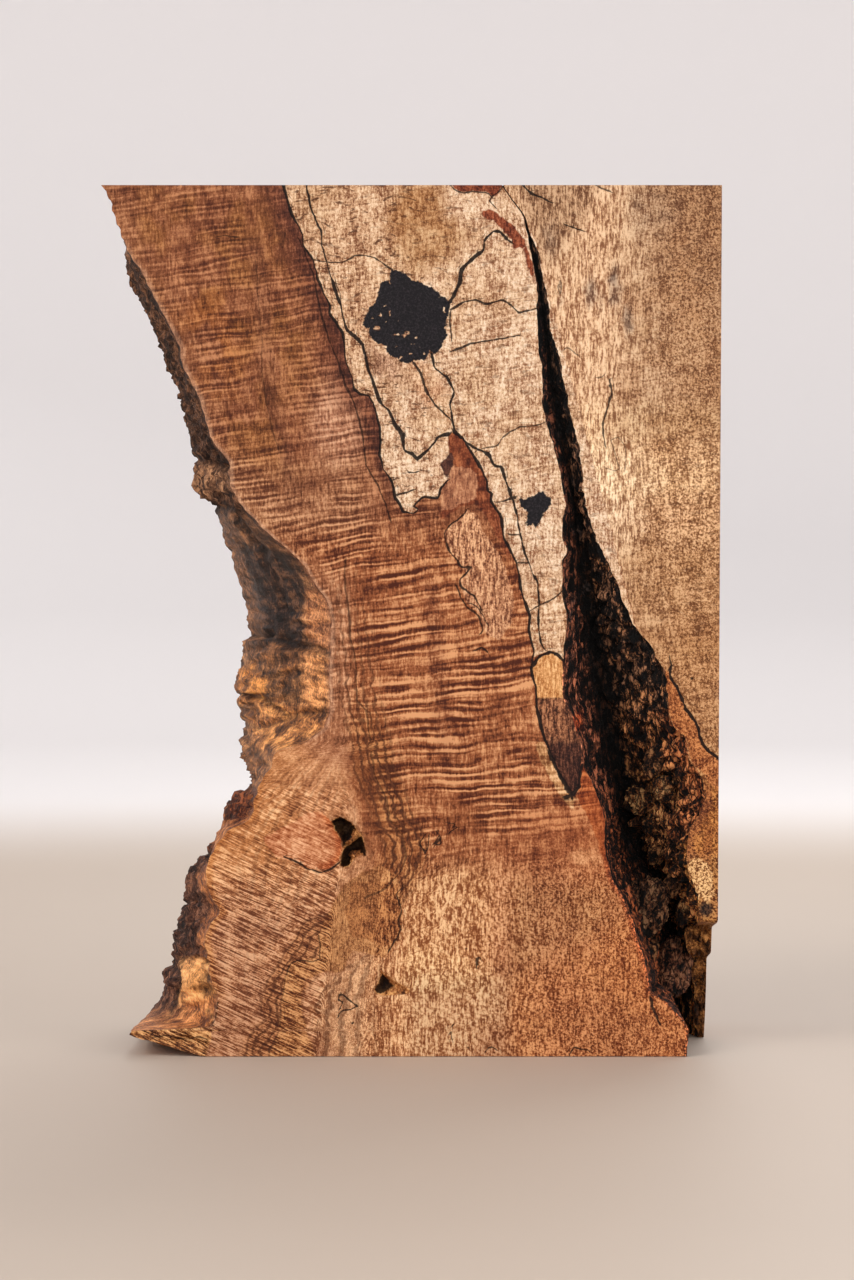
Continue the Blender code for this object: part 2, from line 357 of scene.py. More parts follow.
fade_rows = smooth(0, 5, V - TOP_V) * smooth(0, 4, FOOT_V - V)
gap = np.broadcast_to(open_px, V.shape)
room = np.clip(gap / 60, 0.03, 1.0) * fade_rows
stria = layered(V / 60, DS / 5.5, X / 0.01, 101, 4)
ridges = 1 - abs(layered(V / 34, DS / 9, X / 0.02, 102, 4)) * 2.2
n1, n2, big_id = cells(V / 19, DS / 14, XS / 14, 103)
plates = smooth(0.03, 0.30, n2 - n1)
m1, m2, mid_id = cells(V / 8, DS / 6.5, XS / 6.5, 105)
crumbs = smooth(0.03, 0.40, m2 - m1)
fine = layered(V / 4, DS / 4, XS / 4, 104, 3)
ends = smooth(0, 0.1, share) * smooth(1.0, 0.93, share)
relief = np.zeros(X.shape)
left_wall = 0.0020 * stria + 0.0015 * ridges + 0.0012 * (crumbs - 0.5) * smooth(760, 860, AV) + 0.0006 * fine
relief = np.where(section == 1, room * ends * left_wall, relief)
chunks = 0.0046 * (big_id - 0.5) * plates - 0.0024 * (1 - plates) + 0.0030 * (mid_id - 0.5) * crumbs - 0.0012 * (1 - crumbs)
relief = np.where(section == 2, room * ends * (chunks + 0.0018 * stria + 0.0010 * fine), relief)
# The set-back strip is broken and rotten.
strip = (section == 3) * smooth(0.010, 0.026, D)
relief = np.where(section == 3, strip * fade_rows * smooth(0, 0.15, share) * smooth(1, 0.85, share) * (0.0026 * (crumbs - 0.6) + 0.0020 * stria + 0.0012 * fine), relief)
# Natural side: long waves, flutes along the trunk, folds, and bark left near the foot and under the top.
is_side = section == 6
wob = 10 * field(AV / 16, AU / 16, 1, 112)
bark_low = smooth(840, 862, AV + wob) * smooth(1022, 1006, AV + 0.5 * wob) * smooth(26, 44, DS + 1.5 * wob)
SPUR = [(183, 960), (200, 958), (212, 962), (217, 985), (214, 1003), (204, 1012), (188, 1012), (178, 1004), (181, 985)]
spur = smooth(2, -2, from_outline(SPUR, AU, AV, 20))
bark_low = bark_low * (1 - spur)
bark_high = smooth(248, 262, AV) * smooth(520, 498, AV + 1.5 * wob)
bark_knob = smooth(3, -3, from_outline([(226, 796), (234, 788), (252, 790), (255, 806), (248, 822), (236, 828), (224, 822)], AU + 0.3 * wob, AV, 20))
bark_side = np.clip(np.maximum(np.maximum(bark_low, 0.9 * bark_high), bark_knob), 0, 1) * is_side
swell = layered(V / 50, DS / 60, 0, 114, 3)
flutes = layered(V / 46, DS / 9, 0, 115, 4)
rows_of = np.sin(2 * math.pi * (AV / 12.5 + 0.08 * DS / 10 + 0.8 * field(AV / 40, DS / 50, 3, 118)))
rows_of = rows_of * smooth(-0.4, 0.5, field(AV / 45, DS / 40, 4, 119))
wavy_zone = smooth(560, 660, AV) * smooth(840, 760, AV)
side_relief = 0.0012 * swell + 0.0006 * flutes + 0.0007 * fine + (0.0005 + 0.0011 * wavy_zone) * rows_of
side_bark = 0.0022 * (plates - 0.5) + 0.0020 * layered(V / 30, DS / 12, 5, 116, 4) + 0.0012 * (crumbs - 0.5) + 0.0016 * stria
crease_shade = np.zeros(X.shape)
folds = np.zeros(X.shape)
cu_wob, cv_wob = AU + 1.2 * field(AU / 9, AV / 9, 0, 121), AV + 1.2 * field(AU / 9, AV / 9, 0, 122)
# Each crease is folded in, and darkened along its middle as painted shade.
for deep, wide, crease_shade_of, points in CREASES:
    _, plain_d, _ = from_line(points, cu_wob, cv_wob, 14)
    folds -= deep * 0.001 * np.exp(-((plain_d / wide) ** 2)) - 0.25 * deep * 0.001 * np.exp(-(((plain_d - 2.2 * wide) / wide) ** 2))
    crease_shade = np.maximum(crease_shade, crease_shade_of * smooth(wide * 1.0, wide * 0.25, plain_d))
for bu, bv, hu, hv, tall in BUMPS:
    folds += tall * 0.001 * np.exp(-(((AU - bu) / hu) ** 2) - ((AV - bv) / hv) ** 2)
toe_fade = np.where(V > 1000, 0.45, 1.0)
side_fade = smooth(0, 0.10, 1 - share) * smooth(0, 0.06, share) * fade_rows
relief = np.where(is_side, side_fade * toe_fade * (side_relief * (1 - 0.6 * bark_side) + side_bark * bark_side + 1.4 * folds), relief)

# ---- hollows in the sawn front ---------------------------------------------------------------------------------------
KNOT = [
    (331, 823), (333, 819), (339, 817), (345, 819), (351, 823), (357, 829), (362, 836), (364, 842), (366, 851),
    (365, 857), (360, 855), (356, 857), (352, 862), (349, 867), (343, 868), (340, 866), (341, 858), (343, 850),
    (342, 843), (339, 836), (334, 829),
]
TRIANGLE = [(381, 970), (385, 973), (392, 979), (402, 985), (412, 991), (406, 994), (395, 995), (383, 996), (375, 993), (373, 989), (379, 982), (380, 975)]
wavering = 0.8 * field(AU / 4, AV / 4, 0, 131)
knot = from_outline(KNOT, AU + wavering, AV)
triangle = from_outline(TRIANGLE, AU + wavering, AV)
plug = np.hypot((AU - 352 + 0.55 * (AV - 840)) / 5.0, (AV - 838) / 9.5)
plug_low = np.hypot((AU - 354) / 6.0, (AV - 856) / 4.6)
inset = smooth(0, -3, knot)
knot_depth = 0.0105 * smooth(0.6, -4.5, knot) - inset * (0.0070 * smooth(1.15, 0.6, plug) + 0.0080 * smooth(1.1, 0.6, plug_low))
knot_depth = np.maximum(knot_depth * (1 + 0.25 * field(AU / 5, AV / 5, 0, 41)), 0)
pit_depth = 0.0052 * smooth(0.6, -5.5, triangle) * (1.0 - 0.5 * smooth(384, 408, AU)) * (1 + 0.35 * field(AU / 4, AV / 4, 0, 42))
TOE = [(110, 1020), (205, 1022), (211, 1030), (211, 1042), (204, 1060), (110, 1062)]
toe_d = from_outline(TOE, AU + 2 * field(AU / 8, AV / 8, 0, 132), AV + 2 * field(AU / 8, AV / 8, 0, 133), 20)
toe_rough = smooth(1.0, -6.0, toe_d) * (0.0016 + 0.0022 * layered(AU / 16, AV / 9, 0, 134, 4)) + 0.0034 * np.exp(-(((AU - 211) / 4.5) ** 2) - ((AV - 1019) / 8.0) ** 2)
toe_rough += 0.0024 * np.exp(-(((AU - 186) / 7) ** 2) - ((AV - 1040) / 3.0) ** 2)
sink = np.where(section == 0, knot_depth + pit_depth + np.clip(toe_rough, 0, 0.006) * smooth(0, 3, FOOT_V - V), 0.0)
P[..., 1] += sink
P = P + normal * relief[..., None]
P[0, :, 2], P[-1, :, 2] = 0.0, HEIGHT
low_corner, high_corner = np.array(cad_box[0]), np.array(cad_box[1])
P = np.minimum(np.maximum(P, low_corner), high_corner)


# ---- the sawn top and foot, filled with a net of points so that they carry the figure too ------------------------------
def cap(row, spacing):
    ring2 = [Vector((float(a), float(b))) for a, b in P[row, :, :2]]
    xs = np.arange(low_corner[0], high_corner[0], spacing * GRID)
    ys = np.arange(-THICK / 2, THICK / 2, spacing * GRID)
    gx, gy = np.meshgrid(xs[1:], ys[1:])
    gx = gx + 0.25 * spacing * GRID * field(gx * 900, gy * 900, 0, 5)
    gy = gy + 0.25 * spacing * GRID * field(gx * 900, gy * 900, 1, 6)
    edge = P[row, :, :2] / GRID
    d = from_outline([tuple(p) for p in edge], (gx / GRID).ravel(), (gy / GRID).ravel(), 600)
    inner = np.stack([gx.ravel(), gy.ravel()], axis=-1)[d < -0.45 * spacing]
    points = ring2 + [Vector((float(a), float(b))) for a, b in inner]
    edges = [(i, (i + 1) % C) for i in range(C)]
    coords, _, tris, origin, _, _ = delaunay_2d_cdt(points, edges, [], 1, 1e-7)
    new, index, made = [], {}, []
    for i, old in enumerate(origin):
        ringed = [o for o in old if o < C]
        if ringed:
            index[i] = (row % R) * C + min(ringed)
        else:
            index[i] = -1 - len(new)
            new.append((coords[i].x, coords[i].y))
    made = [[index[k] for k in tri] for tri in tris]
    return np.array(new), made


flat = P.reshape(-1, 3)
top_points, top_faces = cap(R - 1, 7.5)
foot_points, foot_faces = cap(0, 18)
count_grid, count_top = len(flat), len(top_points)
flat = np.concatenate([
    flat,
    np.column_stack([top_points, np.full(len(top_points), HEIGHT)]),
    np.column_stack([foot_points, np.zeros(len(foot_points))]),
])


def extended(values, top_value, foot_value):
    return np.concatenate([values.reshape(-1), np.full(len(top_points), top_value), np.full(len(foot_points), foot_value)])


V = extended(V, TOP_V, FOOT_V)
section = extended(section, 7, 8)
share, AU, AV = extended(share, 0.5, 0.5), extended(AU, 0, 0), extended(AV, 0, 0)
X = flat[:, 0]
D = np.concatenate([D.reshape(-1), flat[count_grid:, 1] + THICK / 2])
beyond = section >= 7
AU = np.where(beyond, EYE_U + (X - CENTRE_X) / GRID, AU)
AV = np.where(beyond, V, AV)
plates, crumbs, mid_id, big_id = (extended(a, 1, 1) for a in (plates, crumbs, mid_id, big_id))
bark_side, crease_shade, strip, spur = (extended(a, 0, 0) for a in (bark_side, crease_shade, strip, spur))
knot, triangle, plug, plug_low = (extended(a, 60, 60) for a in (knot, triangle, plug, plug_low))
U = (X - CENTRE_X) / GRID + EYE_U
DP = D / GRID
on_wood = (section != 1) & (section != 2) & (section != 6)

# Lines as (half width at the start, half width at the end, darkness, points). Black spalt lines and dark rings are the
# wood's own; the black of the cracks and of the lines by the toe is painted shade.
SPALT_LEFT = [
    (283, 170), (283, 184), (290, 211), (303, 235), (304, 248), (314, 260), (317, 278), (330, 306), (329, 313),
    (343, 333), (345, 356), (351, 374), (354, 389), (360, 394), (369, 395), (375, 407), (380, 431), (380, 456),
    (383, 468), (393, 483), (395, 497), (400, 505), (403, 512), (413, 513), (419, 510), (413, 506), (422, 497),
    (438, 498), (441, 488), (448, 481),
]
SPALT_RIGHT = [
    (454, 431), (466, 443), (476, 460), (482, 470), (487, 481), (488, 491), (492, 493), (491, 501), (502, 518),
    (503, 537), (517, 563), (521, 589), (530, 616), (528, 629), (534, 652), (531, 670), (536, 689), (537, 708),
    (543, 733), (544, 738), (553, 758), (560, 776), (571, 791), (572, 798),
]
CRACK_A = [
    (306.5, 170), (306.5, 184.5), (311, 209), (321, 231), (322, 244), (330, 274), (341, 307), (346, 329), (363, 344),
    (368, 368), (380, 402), (388, 409), (394, 423), (402, 433), (404, 450), (413, 454), (417, 460), (423, 454),
    (431, 447), (437, 438), (449, 433.5),
]
LINES = [
    (1.1, 1.2, 1.0, SPALT_LEFT),
    (1.3, 1.4, 1.0, SPALT_RIGHT),
    (1.0, 2.1, 1.0, CRACK_A),
    (0.8, 0.9, 0.8, [(299, 238), (313, 274), (321, 313), (329, 340), (339, 364), (345, 384), (355, 405), (362, 431), (366, 466), (378, 485), (386, 506), (390, 520)]),
    (0.7, 0.8, 0.9, [(314, 260), (330, 262), (341, 263), (355, 256), (364, 255), (376, 258), (391, 269)]),
    (2.1, 1.2, 1.0, [(450, 302), (456, 292), (460, 282), (462, 268), (474, 258), (484, 250), (484, 240), (493, 231), (500, 231), (504, 236), (511, 243)]),
    (1.2, 0.8, 0.95, [(452, 309), (464, 302), (476, 300), (486, 304), (502, 300), (511, 305), (519, 313), (537, 308)]),
    (0.9, 0.7, 0.9, [(451, 311), (450, 322), (452, 340)]),
    (1.3, 0.6, 0.95, [(452, 351), (470, 344), (494, 340), (519, 335)]),
    (1.2, 1.1, 1.0, [(431, 354), (435, 368), (447, 378), (455, 393), (450, 403), (453, 423), (454, 431)]),
    (1.5, 0.7, 0.95, [(413, 362), (421, 374), (426, 391), (435, 405), (451, 420)]),
    (0.8, 0.7, 0.85, [(476, 451), (480, 449), (498, 446), (504, 436), (519, 427), (535, 426), (549, 421)]),
    (1.7, 1.5, 1.0, [(454, 431), (467, 443), (489, 455), (494, 465), (501, 467), (506, 481), (511, 496)]),
    (1.1, 1.0, 1.0, [(511, 496), (513, 500), (518, 518), (520, 534), (527, 559), (538, 584), (539, 604), (538, 626), (540, 642), (545, 649)]),
    (1.4, 0.5, 0.95, [(515, 497), (505, 501), (497, 502)]),
    (0.9, 0.7, 0.9, [(510, 535), (520, 535)]),
    (0.8, 0.7, 0.9, [(519, 563), (527, 563)]),
    (0.8, 0.8, 0.9, [(530, 611), (540, 605), (552, 600), (563, 591)]),
    (1.1, 0.7, 0.95, [(409, 472), (414, 473), (419, 471)]),
    (1.2, 0.7, 0.95, [(398, 495), (408, 492), (414, 490)]),
    (1.0, 0.9, 0.95, [(467, 510), (463, 516), (451, 525), (444, 534), (449, 551), (462, 567), (471, 567), (466, 574), (459, 581), (462, 588), (474, 596), (482, 610)]),
    (0.9, 0.7, 0.9, [(457, 586), (461, 599), (467, 607), (479, 616), (483, 629), (480, 634)]),
    (0.8, 0.4, 0.9, [(471, 603), (479, 609), (487, 624)]),
    (1.3, 0.7, 0.9, [(476, 650), (481, 647), (487, 651)]),
    (1.7, 1.5, 1.0, [(533, 666), (535, 661), (541, 656), (551, 652), (557, 654), (563, 661), (570, 664)]),
    (1.3, 2.4, 1.0, [(583, 765), (579, 778), (580, 786), (573, 794), (566, 797)]),
    (1.8, 2.4, 1.0, [(549, 752), (554, 764), (562, 778), (570, 792)]),
    (0.9, 1.0, 0.6, [(345, 560), (345, 589), (348, 606), (351, 639), (356, 664), (357, 700), (366, 710), (371, 746), (374, 774), (386, 798), (389, 818), (403, 837), (406, 856), (401, 872), (386, 888), (366, 898)]),
    (0.8, 1.0, 0.9, [(403, 886), (396, 894), (402, 910), (398, 921), (401, 930), (396, 940), (390, 950)]),
    (1.3, 0.8, 0.95, [(285, 857), (296, 862), (308, 869), (321, 873), (331, 869), (338, 863), (343, 862)]),
    (0.8, 0.8, 0.95, [(340, 1010), (343, 1003), (338, 1000), (340, 992), (347, 999), (358, 1006), (352, 1009), (343, 1011), (338, 1016)]),
    (0.8, 0.6, 0.95, [(424, 836), (419, 844), (421, 847), (425, 854), (428, 846), (429, 836)]),
    (0.8, 0.7, 0.95, [(436, 832), (438, 838), (434, 844), (441, 845), (441, 838), (438, 833)]),
    (0.8, 0.5, 0.95, [(449, 834), (453, 829), (458, 829), (455, 824), (448, 823)]),
    (1.5, 1.0, 0.95, [(650, 997), (652, 1006), (656, 1016), (660, 1023.5)]),
    (1.2, 0.9, 0.98, [(523, 185), (531, 193), (543, 198), (551, 203)]),
    (1.1, 0.5, 0.95, [(565, 224), (572, 227), (578, 229), (584, 231)]),
    (0.7, 0.7, 0.85, [(590, 182), (600, 187), (611, 191)]),
    (1.3, 0.7, 0.9, [(609, 381), (611, 386), (612, 394), (608, 405), (603, 425), (605, 446)]),
    (0.6, 0.6, 0.6, [(611, 440), (614, 452), (620, 468), (616, 471), (606, 468)]),
    (0.6, 0.6, 0.6, [(611, 440), (618, 437), (625, 446), (626, 460), (625, 470)]),
    (0.5, 0.5, 0.7, [(560, 280), (562, 283), (562, 290), (560, 293), (558, 288), (560, 280)]),
    (0.8, 0.8, 0.65, [(563, 350), (568, 347), (572, 351), (577, 355)]),
    (0.6, 0.5, 0.65, [(597, 378), (602, 377), (605, 374)]),
    (0.9, 0.9, 0.9, [(670, 657), (671, 664)]),
    (1.5, 1.3, 1.0, [(671, 664), (670, 677), (677, 687), (686, 710), (696, 721.5), (702, 743), (711, 753), (722, 762)]),
    (0.9, 0.4, 0.8, [(236, 237), (225, 235), (217, 237)]),
    (0.7, 0.6, 0.8, [(319, 936), (320, 947), (320, 959), (312, 962), (300, 960), (292, 962), (287, 972)]),
    (0.8, 0.6, 0.45, [(287, 972), (284, 990), (281, 1005), (280, 1027), (276, 1038), (269, 1050), (268, 1060)]),
    (0.8, 0.7, 0.85, [(486, 1052), (490, 1046), (496, 1050)]),
    (0.8, 0.7, 0.9, [(569, 1055), (574, 1047), (580, 1049), (588, 1050)]),
    (0.8, 0.6, 0.95, [(452, 1040), (451, 1034), (453, 1026)]),
    (1.0, 0.7, 0.9, [(495, 207), (490, 201), (492, 197)]),
    (0.7, 0.7, 0.9, [(492, 197), (500, 190), (503, 185)]),
    (0.8, 0.8, 0.9, [(449, 184), (456, 190), (464, 193), (472, 191), (480, 192), (487, 193), (492, 197)]),
    (1.4, 0.8, 0.9, [(478, 959), (476, 966)]),
    # Painted shade in the hollow of the toe and along its foot.
    (2.6, 1.2, 0.95, [(216, 1004), (211, 1011), (214, 1019), (210, 1027)]),
    (1.0, 0.6, 0.7, [(152, 1038), (168, 1035), (186, 1041), (200, 1037), (209, 1041)]),
    (0.6, 0.6, 0.5, [(262, 372), (266, 400), (272, 430), (280, 452)]),
    (0.5, 0.5, 0.4, [(256, 262), (258, 300), (262, 340), (262, 372)]),
]
# Round pits as (u, v, radius, strength), darkened as painted shade.
PITS = [
    (467, 949, 1.0, 1.0), (477, 964, 2.4, 1.0), (434, 1014, 1.3, 0.8), (468, 1047, 1.6, 1.0),
    (352, 1023, 1.8, 1.0), (212, 886, 1.6, 1.0), (269, 877, 0.8, 0.7), (267, 860, 0.9, 0.7), (385, 699, 1.0, 0.9),
    (518, 755, 0.9, 0.8), (643, 365, 1.0, 0.9), (605, 341, 0.9, 0.8), (661, 410, 1.3, 1.0), (682, 457, 1.0, 1.0),
    (689, 558, 1.1, 0.8), (692, 679, 1.7, 1.0), (664, 631, 0.9, 0.8), (622, 557, 1.0, 0.8), (648, 558, 1.0, 0.8),
    (600, 355, 0.9, 0.8), (206, 247, 1.6, 0.8), (640, 395, 1.0, 0.6), (621, 993, 1.0, 0.9), (626, 1006, 0.8, 0.7),
    (700, 640, 0.8, 0.7), (596, 560, 0.7, 0.7), (633, 447, 1.5, 0.7), (610, 386, 2.0, 1.0), (612, 394, 1.8, 1.0),
    (445, 1006, 0.8, 0.9), (460, 1010, 0.8, 0.7), (475, 1037, 0.9, 0.8), (556, 812, 0.8, 0.6), (300, 885, 0.8, 0.5),
    (152, 1034, 1.6, 0.8), (168, 1040, 1.4, 0.8), (186, 1036, 1.8, 0.8), (200, 1042, 1.4, 0.7), (196, 1030, 2.0, 0.9),
]
BLOB = [
    (392, 269), (401, 272), (411, 278), (429, 286), (443, 294), (451, 303), (450, 315), (446, 322), (447, 333),
    (443, 345), (438, 353), (430, 355), (424, 361), (415, 360), (408, 364), (400, 362), (395, 357), (387, 354),
    (385, 345), (376, 343), (370, 336), (367, 328), (361, 325), (364, 318), (369, 309), (376, 303), (379, 294),
    (382, 282), (389, 279),
]
BLOB_HOLES = [
    (377, 328, 3.2, 2.4), (380, 315, 1.6, 2.0), (388, 298, 1.6, 1.0), (391, 283, 1.4, 1.0), (399, 320, 1.0, 1.6),
    (396, 334, 3.0, 1.2), (404, 336, 2.4, 1.5), (407, 333, 3.0, 2.0), (416, 338, 1.6, 1.2), (397, 346, 2.8, 1.2),
    (406, 346, 1.2, 1.2), (411, 354, 2.0, 1.2), (430, 353, 1.8, 2.8), (444, 310, 1.4, 2.6), (441, 297, 1.8, 0.8),
    (390, 312, 0.8, 3.0), (413, 344, 1.2, 0.8), (385, 306, 1.2, 0.8), (385, 322, 1.3, 1.3), (389, 340, 1.6, 1.2),
    (421, 346, 1.4, 1.0), (401, 357, 1.5, 1.0), (372, 318, 1.2, 1.6), (424, 354, 1.0, 1.4),
]
BLOB_SMALL = [
    (520, 497), (523, 499), (527, 498), (534, 496), (540, 492), (544, 491), (546, 497), (551, 498), (551, 505),
    (546, 511), (541, 518), (538, 527), (535, 528), (533, 524), (529, 527), (525, 525), (527, 518), (528, 514),
    (522, 507), (519, 502),
]

# The figure lies in the wood, so it runs on through the block: it drifts with depth.
far_in = smooth(0, 60, DP)
FU = U - 0.20 * DP + 26 * field(DP / 120, V / 260, 0, 61) * far_in
FV = V + 0.10 * DP + 18 * field(DP / 110, U / 240, 3.0, 62) * far_in
shallow = np.where(section == 7, 1.0, smooth(40, 14, DP))

# Each group of lines keeps more than twice the reach between its members, so that their distances can share a field.
REACH = 5.0


def apart(a, b):
    def dense(p):
        p = np.array(p, float)
        out = []
        for k in range(1, len(p)):
            n = max(2, int(np.hypot(*(p[k] - p[k - 1])) / 3))
            out.append(p[k - 1] + (p[k] - p[k - 1]) * np.linspace(0, 1, n)[:, None])
        return np.concatenate(out)

    da, db = dense(a), dense(b)
    return np.sqrt(((da[:, None, :] - db[None, :, :]) ** 2).sum(-1)).min()


groups = []
for line in LINES:
    for group in groups:
        if all(apart(line[3], other[3]) > 2 * REACH for other in group):
            group.append(line)
            break
    else:
        groups.append([line])

waver_u = 1.1 * field(FU / 7, FV / 7, DP / 9, 71) + 0.6 * field(FU / 3.1, FV / 3.1, DP / 5, 72)
waver_v = 1.1 * field(FU / 7, FV / 7, DP / 9, 73) + 0.6 * field(FU / 3.1, FV / 3.1, DP / 5, 74)
LU, LV = FU + 0.6 * waver_u, FV + 0.6 * waver_v
line_fields = []
for group in groups:
    signed, width, dark = np.full(U.shape, REACH), np.zeros(U.shape), np.zeros(U.shape)
    nearest = np.full(U.shape, REACH)
    for start, end, darkness, points in group:
        sd, plain_d, way = from_line(points, LU, LV, REACH + 4)
        closer = plain_d < nearest
        nearest = np.where(closer, plain_d, nearest)
        signed = np.where(closer, sd, signed)
        taper = smooth(REACH, 2.6, plain_d) * shallow
        w = 1.2 * (start + (end - start) * way) * (0.80 + 0.45 * field(way * 30, start * 10, 0, 81)) * taper
        width = np.where(closer, w, width)
        dark = np.where(closer, darkness * taper, dark)
    line_fields.append((np.clip(signed, -REACH, REACH), width, dark))


# ---- base colours by zone, each as a dark, a middle and a light tone -------------------------------------------------
def shade(r, g, b):
    c = np.array([r, g, b], float) / 255
    return np.where(c <= 0.04045, c / 12.92, ((c + 0.055) / 1.055) ** 2.4)


def three(dark, mid, light):
    return np.stack([shade(*dark), shade(*mid), shade(*light)])


tones = np.zeros(U.shape + (3, 3))
pale_tones = np.zeros(U.shape + (3, 3))


def paint(mask, dark, mid, light, on=None):
    m = np.clip(mask, 0, 1)[..., None, None]
    target = tones if on is None else on
    target *= 1 - m
    target += three(dark, mid, light) * m


def inside(points, soft=1.5, waver=1.0, u=None, v=None):
    d = from_outline(points, (FU if u is None else u) + waver * waver_u, (FV if v is None else v) + waver * waver_v)
    return smooth(soft, -soft, d)


def near_line(points, reach):
    _, plain_d, _ = from_line(points, LU, LV, reach)
    return 1 - plain_d / reach


def line_u(points, v, swapped=False):
    """u of a downward line at v."""
    return np.interp(v, [p[0] if swapped else p[1] for p in points], [p[1] if swapped else p[0] for p in points])


broad = layered(FU / 90, FV / 90, DP / 90, 91, 3)
blotch = layered(FU / 30, FV / 30, DP / 30, 92, 3)
small = layered(FU / 12, FV / 12, DP / 12, 93, 2)

# Curly brown heart of the block.
paint(np.ones(U.shape), (74, 32, 14), (134, 80, 50), (196, 140, 100))
paint(smooth(-0.1, 0.6, blotch) * smooth(520, 420, FV), (70, 34, 12), (136, 84, 44), (194, 138, 86))
paint(0.7 * smooth(60, 20, np.hypot(FU - 200, 0.55 * (FV - 360))) * smooth(-0.3, 0.4, small + blotch), (72, 30, 8), (148, 86, 38), (206, 142, 84))
paint(0.9 * smooth(1.2, 0.3, np.hypot((FU - 340) / 36, (FV - 420) / 60)), (96, 54, 36), (178, 124, 94), (232, 188, 154))
paint(smooth(500, 560, FV), (76, 30, 10), (156, 92, 54), (226, 170, 122))
paint(0.7 * smooth(440, 530, FV) * smooth(560, 500, FV) * smooth(420, 330, FU), (88, 44, 24), (158, 104, 72), (224, 172, 134))
# Dark vertical ring bands.
band = smooth(12, 4, abs(FU - np.interp(FV, [200, 300, 380, 460, 520], [250, 262, 268, 286, 300]))) * smooth(215, 250, FV) * smooth(520, 460, FV)
paint(0.55 * band, (58, 26, 14), (108, 62, 40), (168, 114, 80))
band = smooth(14, 3, abs(FU - np.interp(FV, [540, 620, 700, 790], [428, 434, 440, 452]))) * smooth(560, 600, FV) * smooth(800, 740, FV)
paint(0.35 * band, (58, 24, 14), (118, 64, 40), (190, 134, 96))
# Purplish brown beside the left spalt line.
beside = near_line(SPALT_LEFT[:21], 42) * (FU < line_u(SPALT_LEFT[:21], FV) + 2)
paint(0.9 * smooth(0.12, 0.9, beside) * smooth(500, 440, FV), (46, 20, 14), (94, 48, 32), (160, 100, 70))
paint(0.5 * smooth(0.75, 0.95, beside), (46, 20, 16), (80, 44, 34), (132, 86, 64))
left_edge = line_u(FRONT_LEFT, FV, True)
from_edge = FU - left_edge
paint(0.4 * smooth(34, 6, from_edge) * smooth(700, 620, FV), (88, 46, 26), (152, 100, 66), (208, 158, 118))
# Paler wood in a band along the deep bay of the natural side.
bay = smooth(358, 344, FU) * smooth(545, 610, FV) * smooth(800, 740, FV)
paint(0.85 * bay, (92, 50, 28), (168, 112, 78), (228, 180, 142))
# Lower left.
lower_left = smooth(-12, 14, FV - np.interp(FU, [200, 300, 345, 400], [742, 742, 770, 960])) * smooth(396, 372, FU + 0.1 * (FV - 850))
paint(lower_left, (108, 58, 32), (184, 126, 86), (234, 188, 148))
paint(0.8 * lower_left * smooth(905, 850, FV) * smooth(330, 260, FU), (90, 42, 16), (180, 116, 66), (234, 188, 142))
paint(0.65 * lower_left * smooth(960, 1020, FV) * smooth(310, 270, FU), (100, 52, 26), (158, 104, 72), (208, 160, 124))
paint(0.45 * lower_left * smooth(0.1, 0.6, blotch), (100, 56, 36), (172, 118, 86), (222, 178, 142))
paint(0.8 * smooth(10, 3, from_edge) * smooth(760, 800, FV) * smooth(1010, 980, FV), (96, 46, 18), (172, 106, 56), (222, 164, 104))
# Ring band left of the lower curl, golden.
ring_zone = smooth(-4, 4, FU - line_u([(345, 560), (349, 606), (355, 700), (366, 746), (378, 800), (384, 846), (366, 880), (340, 910)], FV))
ring_zone = ring_zone * smooth(26, 12, FU - line_u([(345, 560), (349, 606), (355, 700), (366, 746), (378, 800), (384, 846), (366, 880), (340, 910)], FV)) * smooth(690, 740, FV) * smooth(905, 880, FV)
paint(0.6 * ring_zone, (90, 42, 16), (168, 104, 58), (224, 168, 114))
# Lower middle and right.
low = smooth(0, 40, FV - np.interp(FU, [330, 400, 470, 600], [880, 862, 850, 846]))
paint(low * smooth(372, 398, FU), (124, 66, 32), (196, 136, 90), (242, 196, 150))
paint(low * smooth(470, 560, FU + 20 * broad), (96, 42, 14), (168, 104, 64), (222, 164, 120))
paint(0.6 * low * smooth(0.0, 0.5, blotch) * smooth(440, 520, FU), (82, 34, 12), (146, 84, 48), (200, 142, 98))
paint(0.7 * low * smooth(60, 20, np.hypot(FU - 600, 0.7 * (FV - 930))) * smooth(-0.2, 0.3, small), (110, 54, 22), (186, 120, 74), (230, 176, 128))
paint(smooth(786, 830, FV) * smooth(480, 550, FU) * smooth(900, 850, FV), (88, 36, 14), (152, 86, 50), (216, 152, 104))
edge_gap = line_u(CLEFT_LEFT, FV, True) - FU
on_left_part = (edge_gap > -30) & (section != 3)
for cu, cv, ru, rv, amount, dark_c, mid_c, light_c in (
    (588, 858, 26, 9, 0.8, (150, 92, 50), (224, 168, 118), (248, 206, 160)), (590, 910, 16, 22, 0.6, (124, 66, 32), (206, 142, 92), (240, 188, 140)),
    (542, 866, 30, 44, 0.6, (74, 30, 10), (142, 80, 46), (204, 144, 98)), (452, 900, 24, 46, 0.5, (132, 74, 40), (212, 156, 110), (248, 208, 164)),
    (492, 1000, 22, 40, 0.6, (118, 62, 30), (208, 152, 104), (248, 206, 158)), (624, 990, 30, 34, 0.5, (92, 40, 14), (158, 96, 56), (216, 154, 106)),
    (520, 1030, 40, 20, 0.4, (96, 44, 18), (170, 108, 68), (222, 168, 122)), (428, 1010, 22, 30, 0.5, (112, 58, 26), (192, 134, 88), (238, 192, 144)),
    (470, 820, 50, 14, 0.35, (70, 28, 8), (138, 78, 42), (200, 140, 92)),
):
    paint(amount * smooth(1.15, 0.35, np.hypot((FU - cu + 3 * waver_u) / ru, (FV - cv + 3 * waver_v) / rv)) * ((section < 5) & (section != 3)), dark_c, mid_c, light_c)
